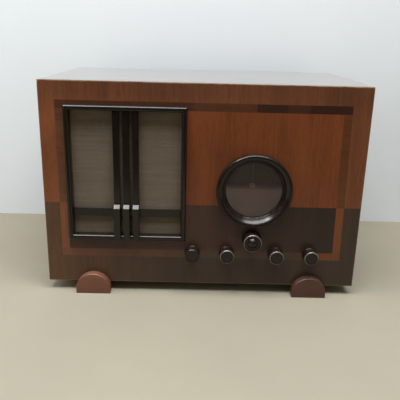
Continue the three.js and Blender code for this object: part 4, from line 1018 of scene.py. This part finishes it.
# ---------------------------------------------------------------- back fittings
def cover_screw(node):
    """A round-headed brass wood screw. Its profile (r, y) goes round the Y axis, with a quarter ellipse for the
    head, and points within the slot's width are sunk."""
    low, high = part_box(node)
    centre = (low + high) / 2
    head = high.y - 2.2 * MM
    a = np.linspace(0, np.pi / 2, 9)
    dome = np.stack([2.9 * MM * np.cos(a), head + 2.2 * MM * np.sin(a)], -1)
    shank = [(0, low.y), (1.3 * MM, low.y + 2 * MM), (1.5 * MM, low.y + 3 * MM), (1.5 * MM, head)]
    points = turned_points(np.concatenate([shank, dome]), (centre.x, 0, centre.z), 40)
    across = np.abs((points[..., 0] - centre.x) * 0.8 + (points[..., 2] - centre.z) * 0.6)
    in_slot = (across < 0.42 * MM) & (points[..., 1] > head + 1.0 * MM)
    points[..., 1] -= np.where(in_slot, 0.8 * MM, 0.0)
    mesh = grid_mesh(node, points, wrap_columns=True)
    stand_for(finished(f"{node}_turned", mesh, BRASS, crease=40), node, "cabinet")


def grommet():
    """A rubber bush: a profile (r, y) with a collar, a neck and a tapered collar goes round the Y axis."""
    low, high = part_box("mains_grommet")
    centre = (low + high) / 2
    bore, neck, collar = 3.5 * MM, 6.9 * MM, 8.5 * MM
    profile = [
        (bore, low.y),
        (collar, low.y),
        (collar, low.y + 2 * MM),
        (neck, low.y + 2 * MM),
        (neck, high.y - 3 * MM),
        (collar, high.y - 3 * MM),
        (collar - 1.2 * MM, high.y - 0.4 * MM),
        (bore, high.y),
    ]
    points = turned_points(softened(profile, 0.7 * MM), (centre.x, 0, centre.z), 64)
    mesh = grid_mesh("grommet", points, wrap_rows=True, wrap_columns=True)
    stand_for(finished("mains_bush", mesh, RUBBER), "mains_grommet", "cabinet")


def valve(node):
    """A valve: a moulded base, a domed shoulder, a straight envelope that narrows, and a metal cap. Each is a
    softened profile (r, z) that goes round the Z axis."""
    low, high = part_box(node)
    centre = (low + high) / 2
    wide, tall = (high.x - low.x) / 2, high.z - low.z
    base = [(0, 0), (15, 0), (15, 26), (13, 28), (0, 28)]
    bulb = [
        (0, 27 * MM),
        (12 * MM, 27 * MM),
        (wide * 0.80, 36 * MM),
        (wide * 0.985, 46 * MM),
        (wide * 0.985, tall * 0.55),
        (wide * 0.72, tall * 0.78),
        (wide * 0.53, tall * 0.86),
        (4.0 * MM, tall - 9 * MM),
        (0, tall - 9 * MM),
    ]
    cap = [(0, tall - 10 * MM), (4.5 * MM, tall - 10 * MM), (4.5 * MM, tall), (0, tall)]
    foot = (centre.x, centre.y, low.z)
    made = []
    shapes = ((np.array(base) * MM, 0.8 * MM), (np.array(bulb), 7 * MM), (np.array(cap), 0.8 * MM))
    for index, (profile, radius) in enumerate(shapes):
        rounded = softened(profile, radius, steps=7, closed=False)
        made.append((grid_mesh(node, upright_points(rounded, foot, 48), wrap_columns=True), index))
    obj = finished(f"{node}_bulb", joined(node, made), [BAKELITE, VALVE_GLASS, STEEL])
    stand_for(obj, node, "cabinet")


# ---------------------------------------------------------------- the set, its stage and its light
FLOOR_COLOUR = ((0.312, 0.286, 0.213), (0.284, 0.259, 0.192))
WALL_COLOUR = ((0.68, 0.73, 0.76), (0.66, 0.71, 0.74))
CARD_COLOUR = ((0.010, 0.008, 0.007), (0.008, 0.007, 0.006))
WALL_GAP = 76 * MM  # cabinet's back to the wall
CARD_DISTANCE = 0.62  # front of the set to the dark card that the dial glass mirrors
FLOOR_REACH, WALL_HALF_WIDTH, WALL_HEIGHT = 4, 4, 3
CARD_HALF_WIDTH, CARD_HEIGHT = 3, 0.9
CEILING_PLACE = (FRONT - 0.42, 1.8)  # y and z of the middle of both ceiling lights
CEILING_SIZE = (1.6, 0.9)
CEILING_POWER, GLEAM_POWER, WINDOW_POWER, GLOW_POWER = 47, 100, 8.5, 6.8
COOL_WHITE = (0.95, 0.99, 1.0)
SKY_COLOUR, SKY_STRENGTH = (1.0, 0.95, 0.88, 1), 0.30


def stage_sheet(name, corners, tones):
    """A flat painted sheet on the stage, which isn't part of the set."""
    mesh = bpy.data.meshes.new(name)
    mesh.from_pydata(corners, [], [(0, 1, 2, 3)])
    obj = bpy.data.objects.new(name, mesh)
    bpy.context.scene.collection.objects.link(obj)
    mesh.materials.append(matt(f"{name} paint", *tones, 0.75, scale=3, grit=60, depth=0.0, dust=0.0))
    return obj


def upright_sheet(name, half_width, y, high, tones):
    """A sheet that stands on the floor across the y axis."""
    corners = [(-half_width, y, 0), (half_width, y, 0), (half_width, y, high), (-half_width, y, high)]
    return stage_sheet(name, corners, tones)


def clear_from_behind(sheet):
    """The sheet's paint shows only on its front: from behind it is clear."""
    web = Web(sheet.data.materials[0].node_tree)
    end = next(node for node in web.tree.nodes if node.type == "OUTPUT_MATERIAL")
    painted = end.inputs["Surface"].links[0].from_socket
    back = web.node("ShaderNodeNewGeometry").outputs["Backfacing"]
    clear = web.node("ShaderNodeBsdfTransparent").outputs[0]
    web.put(end.inputs["Surface"], web.node("ShaderNodeMixShader", {0: back, 1: painted, 2: clear}).outputs[0])


def area_light(name, place, target, size, power, colour=(1, 1, 1)):
    light = bpy.data.lights.new(name, "AREA")
    light.shape = "RECTANGLE"
    light.size, light.size_y = size
    light.energy = power
    light.color = colour
    obj = bpy.data.objects.new(name, light)
    bpy.context.scene.collection.objects.link(obj)
    obj.location = place
    obj.rotation_euler = (Vector(target) - Vector(place)).to_track_quat("-Z", "Y").to_euler()
    return obj


def make_stage():
    """A pale floor, a pale wall close behind that only the eye and the polish see, and a dark card in front that
    only the polish and the glass see. A soft ceiling light has a gleam beside it that only the polish sees, with a
    weaker window light at the left and a glow through the wall."""
    signs = ((-1, -1), (1, -1), (1, 1), (-1, 1))
    stage_sheet("floor", [(x * FLOOR_REACH, y * FLOOR_REACH, 0) for x, y in signs], FLOOR_COLOUR)
    wall = upright_sheet("wall", WALL_HALF_WIDTH, CABINET_HIGH.y + WALL_GAP, WALL_HEIGHT, WALL_COLOUR)
    clear_from_behind(wall)
    wall.visible_diffuse = wall.visible_shadow = wall.visible_transmission = False
    card = upright_sheet("card", CARD_HALF_WIDTH, FRONT - CARD_DISTANCE, CARD_HEIGHT, CARD_COLOUR)
    card.visible_camera = card.visible_diffuse = card.visible_shadow = card.visible_transmission = False
    world = bpy.data.worlds.new("Studio")
    bpy.context.scene.world = world
    world.use_nodes = True
    background = world.node_tree.nodes["Background"]
    background.inputs["Color"].default_value = SKY_COLOUR
    background.inputs["Strength"].default_value = SKY_STRENGTH
    y, z = CEILING_PLACE
    area_light("ceiling", (0.16, y, z), (0.16, y, 0), CEILING_SIZE, CEILING_POWER)
    gleam = area_light("ceiling_gleam", (-0.3, y, z), (-0.3, y, 0), CEILING_SIZE, GLEAM_POWER)
    gleam.visible_diffuse = gleam.visible_transmission = gleam.visible_camera = False
    window = area_light("window", (-1.25, FRONT - 0.15, 0.75), (0, FRONT, 0.2), (0.6, 1.0), WINDOW_POWER)
    window.visible_glossy = False
    behind_wall = (0, CABINET_HIGH.y + WALL_GAP + 0.05, 0.65)
    glow = area_light("wall_glow", behind_wall, (0, -1, 0.45), (1.4, 0.6), GLOW_POWER, COOL_WHITE)
    glow.visible_diffuse = glow.visible_camera = False


# The viewpoint: how far in front of the panel, how far along x from its middle and how high over its foot, in
# metres, then the lens in millimetres and the three turns in degrees.
CAMERA_BACK = 0.7936
CAMERA_ASIDE = -0.0106
CAMERA_RISE = 0.3929
CAMERA_LENS = 47.55
CAMERA_PITCH = -17.44
CAMERA_TURN = -0.40
CAMERA_ROLL = 1.41


def make_camera():
    data = bpy.data.cameras.new("camera")
    data.lens = CAMERA_LENS
    data.clip_start = 0.01
    camera = bpy.data.objects.new("camera", data)
    bpy.context.scene.collection.objects.link(camera)
    turn = Matrix.Rotation(math.radians(CAMERA_TURN), 4, "Z")
    pitch = Matrix.Rotation(math.radians(90 + CAMERA_PITCH), 4, "X")
    roll = Matrix.Rotation(math.radians(CAMERA_ROLL), 4, "Z")
    place = Matrix.Translation((CAMERA_ASIDE, FRONT - CAMERA_BACK, BOTTOM + CAMERA_RISE))
    camera.matrix_world = place @ turn @ pitch @ roll
    bpy.context.scene.camera = camera


make_camera()
make_stage()
dress_frame()
make_knobs()
bezel()
make_grille()
front_foot("front_left_foot", FOOT_WOOD)
front_foot("front_right_foot", DARK_FOOT_WOOD)
for place in ("upper_left", "upper_right", "lower_left", "lower_right"):
    cover_screw(f"cover_screw_{place}")
grommet()
for name in ("mixer", "amplifier", "output", "rectifier"):
    valve(f"{name}_valve")

bpy.context.scene.view_settings.view_transform = "Standard"
